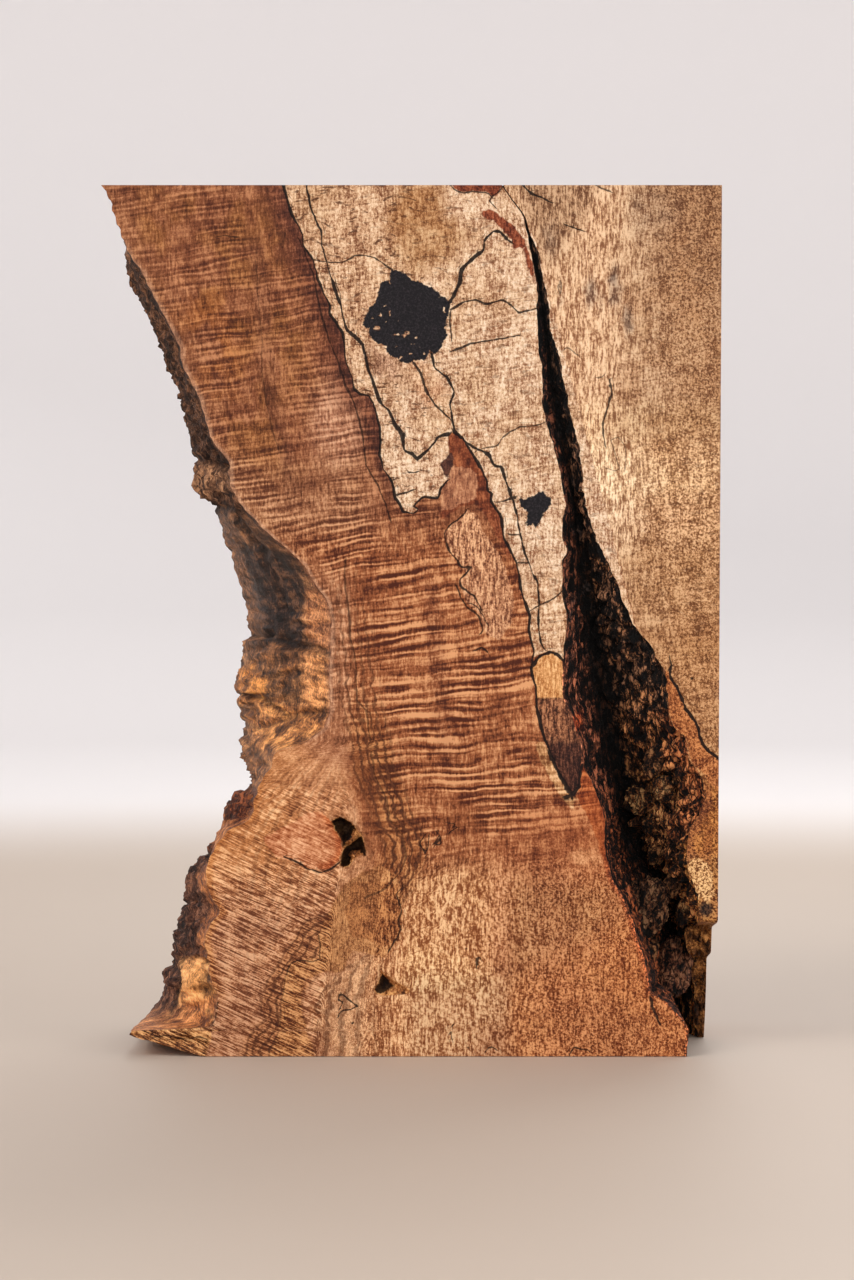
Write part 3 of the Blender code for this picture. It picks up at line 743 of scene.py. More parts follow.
paint(0.55 * smooth(60, 8, edge_gap) * smooth(800, 870, FV) * on_left_part, (98, 42, 14), (178, 104, 58), (226, 162, 110))
paint(0.85 * smooth(7, 2.5, edge_gap) * smooth(770, 830, FV) * smooth(1010, 960, FV) * on_left_part, (84, 28, 8), (140, 58, 24), (196, 108, 60))
# Golden brown terraces at the lower left of the middle.
TERRACE = [(345, 886), (362, 872), (380, 866), (398, 876), (402, 900), (400, 940), (384, 958), (352, 950), (342, 972), (322, 972), (304, 980), (300, 1000), (306, 1030), (316, 1060), (268, 1060), (280, 1030), (284, 980), (292, 962), (319, 958), (319, 936), (332, 906)]
paint(0.85 * inside(TERRACE, 2.5, 1.6), (96, 46, 16), (168, 106, 62), (218, 164, 112))
TERRACE_DARK = [(352, 884), (372, 880), (398, 884), (396, 896), (402, 912), (400, 930), (388, 948), (366, 940), (352, 936), (345, 912)]
paint(0.8 * inside(TERRACE_DARK, 3.0, 2.0), (88, 36, 12), (150, 86, 46), (206, 140, 92))
PALE_LOW = [(347, 946), (386, 958), (420, 940), (470, 960), (500, 1000), (470, 1056), (330, 1060), (312, 1010), (326, 978), (345, 972)]
paint(0.5 * inside(PALE_LOW, 10.0, 3.0), (124, 66, 32), (196, 138, 92), (240, 194, 146))

# Pale, spalted sapwood, with tones of its own.
paint(np.ones(U.shape), (140, 88, 56), (220, 178, 138), (250, 222, 188), on=pale_tones)
paint(smooth(470, 380, FU + 0.25 * (FV - 185)), (116, 66, 38), (202, 154, 112), (244, 208, 168), on=pale_tones)
paint(0.9 * inside([(400, 182), (440, 184), (446, 214), (470, 236), (448, 262), (412, 272), (394, 248), (388, 214)], 12, 3), (108, 58, 24), (172, 118, 72), (220, 172, 124), on=pale_tones)
paint(0.8 * inside([(283, 170), (345, 182), (330, 210), (316, 236), (300, 220)], 10, 3), (104, 62, 34), (182, 134, 92), (228, 186, 142), on=pale_tones)
paint(0.8 * inside([(404, 364), (430, 362), (446, 392), (448, 424), (420, 400)], 4, 2), (116, 66, 36), (190, 130, 88), (234, 184, 138), on=pale_tones)
paint(0.7 * inside([(366, 345), (404, 364), (412, 380), (396, 396), (372, 372)], 4, 2), (84, 46, 28), (160, 108, 78), (220, 170, 130), on=pale_tones)
paint(0.55 * smooth(0.1, 0.6, blotch), (120, 74, 42), (198, 150, 106), (238, 202, 160), on=pale_tones)
paint(0.55 * smooth(0.0, 0.5, small - broad), (128, 80, 50), (210, 164, 120), (246, 212, 172), on=pale_tones)
paint(0.6 * smooth(490, 520, FU) * smooth(560, 600, FV), (140, 86, 50), (220, 172, 126), (250, 216, 176), on=pale_tones)

# Right block.
limit = np.interp(FV, [185, 240, 640, 780, 940, 1056], [503, 534, 640, 690, 668, 660])
rb = np.where(section == 3, 1.0 * (FU > limit), smooth(limit - 46, limit + 4, FU + 12 * blotch) * (section >= 4))
rb = np.where(section == 7, 1.0 * (FU > 503 + 0.6 * waver_u), rb)
on_front_right = np.where(section == 3, 1.0, smooth(60, 0, DP))
paint(rb, (136, 88, 58), (210, 166, 126), (244, 208, 170))
paint(0.8 * rb * smooth(610, 690, FU + 34 * broad + 0.05 * (FV - 400)), (108, 62, 32), (176, 124, 82), (222, 176, 132))
paint(0.6 * rb * smooth(630, 690, FU + 30 * blotch) * smooth(430, 540, FV), (100, 54, 20), (172, 116, 70), (222, 170, 122))
paint(0.7 * rb * smooth(630, 680, FU + 20 * blotch) * smooth(330, 250, FV + 30 * broad), (94, 54, 30), (150, 104, 70), (200, 152, 110))
paint(0.6 * rb * smooth(0.0, 0.5, blotch) * smooth(570, 640, FU), (104, 60, 32), (170, 118, 78), (218, 170, 126))
paint(0.8 * rb * inside([(512, 180), (600, 182), (590, 214), (566, 240), (552, 262), (540, 250), (532, 226)], 10, 3), (92, 56, 34), (164, 122, 88), (212, 172, 134))
paint(0.45 * rb * smooth(0.1, 0.5, small) * smooth(600, 640, FU), (88, 48, 22), (150, 98, 58), (206, 154, 106))
STRIP_RED = [(664, 669), (670, 672), (670, 677), (677, 687), (686, 710), (696, 721), (702, 743), (711, 753), (724, 764), (724, 786), (716, 788), (708, 782), (704, 774), (691, 763), (686, 738), (673, 728), (668, 708), (664, 680)]
gold_low = smooth(766, 790, FV + 0.3 * (722 - FU)) * rb * on_front_right
paint(gold_low, (84, 38, 10), (154, 98, 48), (216, 158, 96))
paint(0.7 * gold_low * smooth(0.0, 0.4, layered(FU / 7, FV / 30, 0, 94, 2)), (72, 30, 8), (124, 70, 34), (184, 120, 70))
edge_right = FU - line_u(CLEFT_RIGHT[:40], FV, True)
paint(0.8 * rb * smooth(13, 4, edge_right + 3 * waver_u) * smooth(780, 800, FV) * smooth(870, 850, FV), (62, 26, 14), (128, 74, 46), (188, 130, 86))

# Grey stains.
stain = np.zeros(U.shape)
for cu, cv, ru, rv, amount in ((591, 290, 9, 17, 0.8), (614, 288, 7, 26, 0.85), (629, 320, 5, 19, 0.8), (640, 215, 16, 30, 0.4), (560, 300, 4, 16, 0.5), (550, 240, 10, 22, 0.45), (655, 210, 30, 26, 0.35), (601, 300, 4, 22, 0.4), (622, 300, 3, 20, 0.4)):
    stain = np.maximum(stain, amount * smooth(1.25, 0.3, np.hypot((FU - cu + 2 * waver_u) / ru, (FV - cv + 3 * waver_v) / rv)))
paint(stain * (0.7 + 0.6 * small) * smooth(60, 0, DP), (60, 46, 42), (112, 92, 82), (166, 142, 122))

# Sharp zones of the front: (outlines, edge roughness, dark, middle, light). Each keeps a field of distances of its own.
TONGUE = [(533, 664), (541, 656), (551, 652), (563, 661), (590, 680), (620, 765), (583, 765), (579, 778), (580, 786), (573, 794), (571, 791), (560, 776), (553, 758), (544, 738), (543, 733), (537, 708), (536, 689), (531, 670)]
WEDGE = [(535, 744), (543, 742), (549, 752), (556, 770), (566, 786), (575, 799), (573, 809), (563, 800), (551, 780), (541, 762)]
RED_WEDGE = [(582, 764), (588, 770), (600, 800), (612, 836), (614, 880), (604, 858), (592, 826), (582, 806), (577, 796), (580, 778)]
PATCH_TOP = [(448, 170), (450, 184), (456, 189), (464, 192), (472, 190), (480, 191), (487, 192), (492, 197), (497, 195), (503, 184), (503, 170)]
PATCH_ARM = [(482, 211), (487, 209), (492, 210), (498, 215), (504, 219), (515, 227), (524, 240), (529, 254), (534, 268), (537, 286), (533, 282), (527, 264), (523, 249), (519, 247), (516, 248), (513, 250), (511, 240), (506, 234), (502, 229), (494, 221), (488, 219), (484, 217)]
PATCH_MID = [(449, 434), (456, 432), (466, 443), (476, 460), (482, 470), (488, 484), (488, 491), (492, 493), (491, 501), (502, 518), (503, 540), (512, 556), (506, 556), (496, 536), (486, 516), (476, 504), (462, 506), (450, 514), (441, 520), (440, 512), (452, 506), (466, 497), (472, 480), (460, 470), (452, 462), (449, 450)]
PATCH_WORM = [(449, 466), (462, 468), (474, 470), (478, 484), (476, 498), (462, 504), (443, 512), (441, 500), (441, 488), (448, 481)]
PATCH_PURPLE = [(440, 465), (444, 460), (451, 453), (455, 456), (454, 463), (450, 473), (448, 482), (444, 474)]
LOBE = [(467, 510), (463, 516), (451, 525), (444, 534), (449, 551), (462, 567), (466, 574), (459, 581), (466, 600), (480, 616), (486, 634), (500, 640), (512, 622), (514, 600), (506, 570), (496, 548), (484, 532), (476, 514)]
ROT = [(688, 862), (698, 857), (708, 864), (713, 878), (714, 892), (708, 904), (702, 898), (694, 901), (688, 888), (686, 874)]
KNOT_LOBE = [(262, 838), (290, 824), (308, 813), (322, 812), (332, 822), (340, 838), (343, 852), (338, 862), (326, 870), (312, 869), (296, 862), (276, 857)]
PALE = [(250, 150), (283, 170)] + SPALT_LEFT[1:] + [(449, 455), (449, 434)] + SPALT_RIGHT[:15] + [(534, 658), (541, 654), (551, 651), (563, 660), (640, 661), (640, 150)]
RIND = [(540, 655), (560, 650), (574, 640), (574, 540), (574, 430), (560, 300), (545, 240), (534, 240), (534, 330), (545, 430), (560, 540), (561, 600), (563, 655)]
ZONES = [
    ("lobe", [LOBE], 1.2, (92, 46, 28), (182, 126, 90), (238, 192, 150)),
    ("mid_patch", [PATCH_MID], 1.4, (62, 24, 10), (118, 56, 30), (178, 108, 68)),
    ("worm", [PATCH_WORM], 2.0, (88, 44, 28), (164, 108, 78), (216, 164, 124)),
    ("brown_patch", [PATCH_TOP, PATCH_ARM], 0.9, (70, 24, 12), (124, 58, 34), (172, 100, 66)),
    ("purple", [PATCH_PURPLE], 1.2, (34, 16, 14), (64, 34, 28), (98, 60, 46)),
    ("tongue", [TONGUE], 0.6, (164, 104, 54), (216, 158, 100), (248, 204, 148)),
    ("wedge", [WEDGE], 1.2, (110, 62, 30), (196, 146, 98), (244, 204, 158)),
    ("red_wedge", [RED_WEDGE], 1.8, (88, 30, 8), (150, 72, 32), (206, 124, 72)),
    ("red_strip", [STRIP_RED], 0.8, (84, 34, 10), (156, 90, 46), (212, 144, 88)),
    ("rot", [ROT], 2.2, (96, 50, 20), (206, 152, 96), (246, 208, 152)),
    ("toe", [TOE], 1.5, (62, 28, 8), (174, 114, 66), (242, 190, 130)),
    ("terrace", [TERRACE], 1.2, (74, 32, 10), (160, 100, 56), (222, 168, 114)),
    ("terrace_dark", [TERRACE_DARK], 1.4, (58, 21, 5), (138, 78, 40), (214, 152, 96)),
    ("knob", [KNOT_LOBE], 0.8, (134, 62, 24), (200, 132, 90), (242, 190, 148)),
]
near_front = smooth(30, 10, DP)
zone_fields = {"pale": np.where((rb > 0.5) & (section != 5), 60, from_outline(PALE, FU + 0.6 * waver_u, FV + 0.6 * waver_v))}
for name, outlines, rough, *_ in ZONES:
    d = np.full(U.shape, 9.0)
    for points in outlines:
        d = np.minimum(d, from_outline(points, FU + 0.6 * rough * waver_u, FV + 0.6 * rough * waver_v, 9))
    d = np.clip(d + 9 * (1 - np.where(section == 7, 1.0, near_front)), -9, 9)
    if name == "tongue":
        d = np.maximum(d, np.where(section == 0, -9, 9))
    if name in ("red_strip", "rot"):
        d = np.maximum(d, np.where(section == 3, -9, 9))
    zone_fields[name] = d
pale_m = smooth(0.5, -0.5, zone_fields["pale"])
tongue_m = smooth(0.5, -0.5, zone_fields["tongue"])

# ---- colours of the natural side and of the cleft, with some painted shade and painted highlights --------------------
aw, av = AU + 1.2 * waver_u, AV + 1.2 * waver_v
mottle = layered(AU / 14, AV / 14, DP / 14, 95, 3)
bay_side = (section == 6).astype(float)


def side_colour_and_light(mask, dark, mid, light, part=bay_side):
    paint(mask * part, dark, mid, light)


def at(points, soft):
    return smooth(soft, -soft, from_outline(points, aw + 2 * mottle, av + 2 * mottle))


side_colour_and_light(np.ones(U.shape), (40, 24, 14), (104, 72, 48), (176, 134, 96))
side_colour_and_light(smooth(556, 520, AV + 8 * mottle), (28, 16, 10), (78, 54, 38), (146, 110, 80))
side_colour_and_light(bark_side * smooth(540, 500, AV), (20, 11, 8), (58, 39, 30), (122, 90, 70))
side_colour_and_light(at([(196, 464), (214, 460), (228, 470), (228, 496), (210, 500), (198, 488)], 5), (36, 20, 14), (98, 72, 56), (170, 136, 108))
side_colour_and_light(0.8 * smooth(11, 3, left_edge - AU) * smooth(490, 510, AV) * smooth(570, 540, AV), (24, 12, 8), (66, 42, 28), (126, 88, 60))
side_colour_and_light(at([(228, 560), (250, 556), (258, 600), (254, 640), (246, 640), (240, 600)], 6), (50, 30, 18), (112, 80, 56), (178, 134, 98))
side_colour_and_light(at([(238, 546), (262, 542), (290, 554), (303, 580), (306, 640), (296, 652), (262, 646), (256, 600)], 6), (12, 7, 7), (42, 28, 24), (108, 78, 58))
side_colour_and_light(0.8 * at([(252, 640), (302, 650), (302, 690), (270, 690), (250, 676)], 6), (24, 14, 9), (84, 56, 38), (156, 112, 76))
side_colour_and_light(at([(306, 590), (327, 592), (335, 620), (336, 656), (308, 646), (303, 620)], 3), (80, 44, 22), (174, 122, 84), (232, 182, 134))
# Gold on the bulges: partly the wood's own colour, partly painted highlight.
side_colour_and_light(at([(300, 652), (338, 658), (336, 706), (318, 716), (302, 702)], 5), (76, 44, 22), (170, 120, 80), (228, 178, 128))
side_colour_and_light(at([(232, 672), (252, 662), (266, 684), (262, 702), (240, 704)], 4), (60, 32, 14), (150, 98, 52), (216, 158, 92))
side_colour_and_light(at([(244, 712), (262, 704), (300, 704), (336, 712), (336, 740), (300, 750), (272, 758), (252, 744)], 5), (62, 34, 16), (146, 98, 60), (220, 168, 112))
side_colour_and_light(0.85 * smooth(0.05, 0.35, mottle) * smooth(640, 670, AV) * smooth(780, 740, AV), (30, 16, 10), (92, 58, 34), (160, 110, 68))
side_colour_and_light(at([(240, 746), (258, 748), (270, 758), (262, 780), (240, 792)], 5), (44, 26, 14), (108, 72, 46), (170, 122, 80))
side_colour_and_light(smooth(784, 792, AV) * smooth(862, 848, AV), (60, 28, 12), (138, 86, 48), (204, 146, 88))
side_colour_and_light(bark_side * smooth(780, 790, AV) * smooth(862, 848, AV), (26, 9, 5), (74, 36, 22), (146, 86, 52))
side_colour_and_light(smooth(848, 862, AV + 6 * mottle), (56, 26, 12), (128, 80, 46), (196, 140, 90))
side_colour_and_light(bark_side * smooth(846, 856, AV), (24, 13, 12), (76, 50, 42), (142, 104, 84))
side_colour_and_light(0.6 * bark_side * smooth(0.1, 0.4, mottle) * smooth(846, 856, AV), (18, 9, 8), (56, 34, 27), (108, 76, 58))
side_colour_and_light(spur, (112, 72, 36), (204, 154, 98), (246, 208, 150))
# Painted shade in the hollow of the golden spur.
side_colour_and_light(smooth(1.1, 0.6, np.hypot((AU - 206) / 8, (AV - 986) / 16)), (44, 24, 10), (104, 72, 40), (166, 122, 76))
side_colour_and_light(smooth(1000, 1008, AV + 0.25 * (AU - 180)) * smooth(120, 90, DP) * (1 - bark_side), (78, 40, 16), (166, 110, 64), (228, 176, 120))

left_wall_m, right_wall_m = (section == 1).astype(float), (section == 2).astype(float)
side_colour_and_light(np.ones(U.shape), (3, 1, 1), (40, 25, 20), (130, 94, 76), left_wall_m)
side_colour_and_light(0.8 * smooth(0.0, 0.4, mottle) * smooth(560, 620, AV), (5, 2, 2), (60, 39, 31), (160, 116, 92), left_wall_m)
side_colour_and_light(smooth(760, 830, AV), (3, 1, 1), (46, 27, 18), (140, 94, 64), left_wall_m)
side_colour_and_light(smooth(1.0, 0.4, np.hypot((AU - 577) / 5, (AV - 720) / 14)), (50, 18, 8), (112, 54, 32), (160, 96, 62), left_wall_m)
# Painted shade: the left wall turns near black deep in the cleft.
side_colour_and_light(smooth(0.55, 0.9, share), (2, 1, 1), (12, 7, 5), (44, 28, 20), left_wall_m)
side_colour_and_light(np.ones(U.shape), (3, 2, 2), (42, 28, 22), (158, 122, 98), right_wall_m)
side_colour_and_light(smooth(-0.1, 0.3, mottle) * smooth(520, 600, AV), (5, 2, 1), (66, 43, 30), (206, 154, 112), right_wall_m)
side_colour_and_light(smooth(680, 760, AV + 10 * mottle), (5, 2, 1), (84, 49, 28), (224, 160, 106), right_wall_m)
# Gold on the lower right wall: partly the wood's own colour, partly painted highlight.
side_colour_and_light(0.85 * at([(624, 770), (676, 768), (680, 800), (660, 832), (664, 862), (644, 862), (636, 820), (624, 806)], 7), (12, 5, 2), (128, 82, 50), (236, 182, 126), right_wall_m)
side_colour_and_light(smooth(0.62, 0.8, share + 0.12 * mottle) * smooth(700, 730, AV) * smooth(850, 830, AV), (24, 8, 3), (130, 74, 44), (212, 146, 98), right_wall_m)
side_colour_and_light(smooth(0.70, 0.85, share + 0.12 * mottle) * smooth(830, 850, AV), (14, 6, 2), (118, 70, 34), (226, 164, 98), right_wall_m)
side_colour_and_light(smooth(1.0, 0.5, np.hypot((AU - 706) / 9, (AV - 909) / 10)), (8, 4, 3), (34, 20, 14), (90, 60, 40), right_wall_m + rb * (section == 3))
# Painted shade: the right wall turns near black down by the cleft floor.
side_colour_and_light(smooth(0.34, 0.06, share), (2, 1, 1), (12, 7, 4), (50, 31, 21), right_wall_m)
set_back = strip
side_colour_and_light(np.ones(U.shape), (22, 10, 4), (118, 74, 38), (204, 148, 88), set_back)
side_colour_and_light(smooth(0.05, 0.4, mottle), (10, 5, 3), (62, 36, 20), (140, 92, 52), set_back)

# ---- curl, rings and fibres ------------------------------------------------------------------------------------------
RING_V = [185, 258, 364, 440, 530, 600, 700, 740, 810, 860, 900, 940, 1000, 1056]
RINGS = [  # rows of u for v in RING_V, from the natural side to the sawn right side
    [101, 131, 182, 211, 265, 327, 331, 328, 250, 208, 212, 204, 216, 203],
    [215, 232, 268, 300, 325, 346, 357, 370, 388, 404, 370, 322, 281, 268],
    [283, 304, 348, 380, 400, 430, 452, 470, 476, 470, 452, 450, 462, 480],
    [452, 455, 455, 454, 512, 526, 531, 545, 572, 586, 598, 610, 630, 640],
    [502, 533, 541, 549, 562, 564, 563, 575, 601, 612, 624, 638, 668, 688],
    [510, 541, 560, 578, 600, 625, 668, 690, 700, 694, 700, 704, 712, 715],
    [722, 722, 722, 721, 721, 721, 721, 721, 720, 719, 720, 722, 722, 722],
]
RING_AT = [0, 100, 190, 300, 350, 385, 560]
ring_u = [np.interp(FV, RING_V, row) for row in RINGS]
ring = np.zeros(U.shape)
for k in range(len(RINGS) - 1):
    t = (FU - ring_u[k]) / np.maximum(ring_u[k + 1] - ring_u[k], 1)
    value = RING_AT[k] + t * (RING_AT[k + 1] - RING_AT[k])
    ring = np.where((FU >= ring_u[k]) | (k == 0), value, ring)
slope = np.interp(FV, [185, 560, 700, 780, 840], [0.175, 0.15, 0.10, 0.05, 0.08])
curl = np.interp(FV, [185, 520, 1056], [0, 32.0, 75.0]) + slope * (FU - 330) / 11.8
curl_size = np.interp(FV, [185, 300, 460, 560, 640, 760, 860], [0.55, 0.62, 0.75, 0.95, 1.15, 1.15, 0.9])
curl_size = curl_size * (1 - 0.62 * pale_m) * (1 - 0.7 * rb) * (1 - tongue_m)
curl_size = curl_size * smooth(915, 800, FV + 0.10 * (FU - 450) + 26 * blotch) * (1 - 0.85 * smooth(380, 352, FU) * smooth(700, 760, FV))
curl_size = curl_size * (1 - 0.45 * bay)
curl_size = curl_size * (1 - 0.85 * inside(LOBE, 2, 1.2)) * (1 - 0.65 * inside(PATCH_MID, 2, 1.4)) * (1 - 0.9 * inside(PATCH_WORM, 2, 1.2))
curl_size = np.where(section == 7, 0.15 * curl_size, curl_size)
slant = smooth(390, 340, FU + 0.12 * (FV - 850)) * smooth(742, 790, FV)
wavy = smooth(392, 420, FU) * smooth(600, 490, FU) * smooth(846, 890, FV)
wavy = np.maximum(wavy, 0.55 * slant * smooth(230, 280, FU))
wavy = np.maximum(wavy, 0.55 * rb * smooth(640, 590, FU + 26 * broad))
wavy = np.maximum(wavy, 0.30 * pale_m)
grit = np.clip(0.42 + 0.22 * smooth(470, 560, FU) * smooth(800, 860, FV) + 0.45 * rb * smooth(600, 690, FU + 20 * blotch) - 0.12 * rb + 0.10 * pale_m - 0.15 * slant, 0, 1)
dash = np.clip(0.95 * pale_m * (0.45 + 0.55 * smooth(500, 380, FU)) + 0.35 * rb * smooth(600, 680, FU) + 0.12, 0, 1)
rim = smooth(4.6, 2.2, from_edge) * smooth(TOP_V + 40, TOP_V + 80, FV) * smooth(745, 735, FV) * (section == 0)
rings_m = np.maximum(
    smooth(30, 14, abs(ring - 106)) * smooth(560, 620, FV) * smooth(960, 900, FV),
    0.7 * smooth(60, 96, ring) * smooth(160, 126, ring) * smooth(900, 930, FV),
)
rings_m = np.maximum(rings_m, 0.30 * slant * smooth(215, 260, FU))
rings_m = np.maximum(rings_m, 0.22 * smooth(0, 30, ring) * smooth(300, 260, ring) * smooth(600, 540, FV) * (1 - pale_m))
rings_m = np.maximum(rings_m, 0.6 * (section == 7) * (1 - pale_m))
rings_m = np.maximum(rings_m, 0.5 * (section >= 4) * (section < 6) * (1 - pale_m))
BUNDLE = [
    (350, 560), (350, 606), (356, 660), (360, 700), (371, 746), (374, 774), (386, 798), (389, 818), (403, 837), (406, 856),
    (401, 872), (386, 890), (365, 905), (345, 930), (319, 936), (303, 960), (285, 986), (279, 1004), (283, 1024), (269, 1040), (262, 1062),
]
bundle_signed, bundle_plain, _ = from_line(BUNDLE, FU + 1.5 * waver_u, FV + 1.5 * waver_v, 40)
bundle_m = smooth(25, 15, bundle_plain + 4 * blotch) * np.interp(FV, [560, 640, 720, 760, 890, 920, 1056], [0.25, 0.6, 0.85, 1.0, 1.0, 0.9, 0.9])
near_bundle = smooth(34, 26, bundle_plain)
ring_phase = np.where(bundle_plain < 38, bundle_signed / 7.6, ring * 0.140)
rings_m = np.clip(rings_m * (1 - near_bundle) + bundle_m, 0, 1) * (bundle_plain > -1)
paint(0.75 * bundle_m * smooth(680, 740, FV), (66, 28, 8), (134, 76, 38), (206, 144, 88))
contrast = np.interp(FV, [185, 480, 560, 1056], [0.66, 0.75, 0.85, 0.9])
contrast = contrast + 0.42 * pale_m + 0.65 * rb * on_front_right + 0.2 * rb + 0.7 * tongue_m
contrast = contrast + 0.70 * smooth(846, 900, FV) * (1 - rb) - 0.15 * lower_left * smooth(900, 860, FV)
contrast = contrast + 0.8 * inside(LOBE, 3, 1.2) + 0.25 * lower_left
contrast = contrast * np.interp(FV, [185, 540, 580, 820, 870], [1.42, 1.42, 1.12, 1.12, 1.42])
contrast = contrast * (1 + 0.20 * smooth(860, 900, FV) * smooth(500, 540, FU) - 0.1 * inside(TERRACE_DARK, 3, 1.2))

# Balance of the painted tones against the light of the studio. In the cleft it is painted light: both walls are
# brightened far past their own colour as if lit, and the narrow upper slot is darkened as painted shade.
tone_balance_and_cleft_light = np.ones(U.shape + (3,)) * (0.85, 0.775, 0.72)
for mask, factor in (
    (rb, (0.90, 0.89, 0.88)), (rb * smooth(470, 420, FV) * smooth(590, 640, FU + 20 * broad), (0.74, 0.73, 0.71)),
    (rb * smooth(300, 240, FV) * smooth(600, 560, FU), (0.78, 0.76, 0.74)), (rb * smooth(430, 470, FV) * smooth(640, 600, FV) * on_front_right, (1.03, 1.12, 1.20)), (rb * smooth(620, 660, FV) * smooth(790, 760, FV) * on_front_right, (0.84, 0.82, 0.76)), (lower_left * smooth(930, 860, FV) * smooth(1.5, 0.5, section), (1.04, 1.0, 0.92)),
    # Painted light: the cleft walls are brightened.
    (inside(PALE_LOW, 14.0, 3.0) * smooth(1.5, 0.5, section), (0.98, 0.98, 0.96)), (left_wall_m, (4.2, 2.7, 2.1)),
    (right_wall_m, (2.3, 1.9, 1.6)), (bay_side, (1.65, 1.38, 1.12)), (bay_side * smooth(640, 670, AV) * smooth(790, 760, AV), (1.95, 1.72, 1.38)), (bay_side * smooth(540, 560, AV) * smooth(650, 640, AV), (1.42, 1.20, 1.02)), (set_back, (1.0, 0.92, 0.85)),
):
    tone_balance_and_cleft_light = tone_balance_and_cleft_light * (1 - mask[..., None]) + np.array(factor) * mask[..., None]
front_left_m = smooth(1.5, 0.5, section) * (1 - rb)
for mask, factor in (
    (front_left_m * smooth(860, 900, FV) * smooth(500, 520, FU) * smooth(980, 930, FV + 0.5 * (FU - 560)), (0.87, 0.89, 0.84)),
    (front_left_m * smooth(930, 980, FV + 0.5 * (FU - 560)) * smooth(500, 520, FU), (1.03, 0.99, 0.86)),
    (front_left_m * smooth(960, 990, FV) * smooth(395, 420, FU) * smooth(520, 500, FU), (0.84, 0.86, 0.89)),
    (on_front_right * rb * smooth(520, 560, FV) * smooth(670, 640, FV), (0.85, 0.81, 0.75)),
    (on_front_right * rb * smooth(390, 420, FV) * smooth(520, 480, FV), (1.09, 1.13, 1.11)),
    # Painted shade in the narrow upper part of the cleft.
    (np.maximum(left_wall_m, right_wall_m) * smooth(460, 400, AV), (0.62, 0.66, 0.70)),
    (front_left_m * inside(LOBE, 3, 1.2), (0.90, 0.92, 0.92)),
    (front_left_m * smooth(450, 470, FV) * smooth(545, 520, FV) * smooth(380, 350, FU), (1.08, 1.17, 1.19)),
    (front_left_m * smooth(850, 880, FV) * smooth(1000, 985, FV) * smooth(395, 410, FU) * smooth(500, 480, FU), (1.06, 1.13, 1.13)),
    (on_front_right * rb * smooth(775, 795, FV) * smooth(862, 850, FV), (0.98, 0.84, 0.66)),
    (on_front_right * rb * smooth(855, 868, FV), (0.90, 0.87, 0.83)),
):
    tone_balance_and_cleft_light = tone_balance_and_cleft_light * (1 - mask[..., None] * (1 - np.array(factor)))
tones *= tone_balance_and_cleft_light[..., None, :]
pale_tones *= (0.87, 0.90, 0.96)
pale_tones *= 1 - np.array([0.16, 0.24, 0.36]) * inside([(404, 182), (440, 184), (446, 214), (470, 236), (448, 262), (412, 272), (394, 248), (388, 214)], 12, 3)[..., None, None]

# ---- mesh ------------------------------------------------------------------------------------------------------------
rows, cols = np.meshgrid(np.arange(R - 1), np.arange(C), indexing="ij")
right_col = (cols + 1) % C
quads = np.stack([rows * C + cols, rows * C + right_col, (rows + 1) * C + right_col, (rows + 1) * C + cols], axis=-1).reshape(-1, 4)
grid_section = np.concatenate([np.full(n, k) for k, n in enumerate(COUNTS)])
slots = np.tile(np.take([0, 1, 1, 0, 3, 3, 2], grid_section), R - 1)


def settled(faces, first):
    return [[k if k >= 0 else first - 1 - k for k in face] for face in faces]


top_faces = settled(top_faces, count_grid)
foot_faces = [face[::-1] for face in settled(foot_faces, count_grid + count_top)]
faces = quads.tolist() + top_faces + foot_faces
mesh = bpy.data.meshes.new("maple_burl_block")
mesh.from_pydata(flat.tolist(), [], faces)
mesh.update()
capped = len(top_faces) + len(foot_faces)
mesh.polygons.foreach_set("material_index", np.concatenate([slots, np.zeros(len(top_faces)), np.full(len(foot_faces), 3)]).astype(np.int32))
mesh.polygons.foreach_set("use_smooth", np.concatenate([np.ones(len(slots)), np.zeros(capped)]).astype(bool))
# Sharp where a saw met the wood: along the corner columns and round the foot and the top.
ends_of = np.empty(len(mesh.edges) * 2, np.int32)
mesh.edges.foreach_get("vertices", ends_of)
ends_of = ends_of.reshape(-1, 2)
in_grid = (ends_of < count_grid).all(axis=1)
corner_cols = [START[n] for n in ("front", "cleft_left", "front_right", "right", "back", "left")]
ec, er = ends_of % C, ends_of // C
sharp = in_grid & (ec[:, 0] == ec[:, 1]) & np.isin(ec[:, 0], corner_cols)
sharp |= in_grid & (er[:, 0] == er[:, 1]) & np.isin(er[:, 0], [0, R - 1])
mesh.attributes.new("sharp_edge", "BOOLEAN", "EDGE").data.foreach_set("value", sharp)


def store(target, name, kind, values):
    a = target.attributes.new(name, kind, "POINT")
    field_name = {"FLOAT": "value", "FLOAT_VECTOR": "vector", "FLOAT_COLOR": "color"}[kind]
    a.data.foreach_set(field_name, np.ascontiguousarray(values, np.float32).reshape(-1))


def stacked(*parts):
    return np.stack([np.broadcast_to(p, U.shape) for p in parts], axis=-1)


blob = from_outline(BLOB, FU + waver_u, FV + waver_v, 14) + 0.5 * DP
for cu, cv, ru, rv in BLOB_HOLES:
    blob = np.maximum(blob, -(np.hypot((FU - cu) / ru, (FV - cv) / rv) - 1) * min(ru, rv))
blob = np.minimum(blob, from_outline(BLOB_SMALL, FU + 0.5 * waver_u, FV + 0.5 * waver_v, 14) + 0.5 * DP)
# Painted shade in the round pits.
pit_shade_field = np.zeros(U.shape)
for cu, cv, radius, strength in PITS:
    pit_shade_field = np.maximum(pit_shade_field, strength * (1 - np.hypot(FU - cu, FV - cv) / (radius + 2.2)) * shallow)
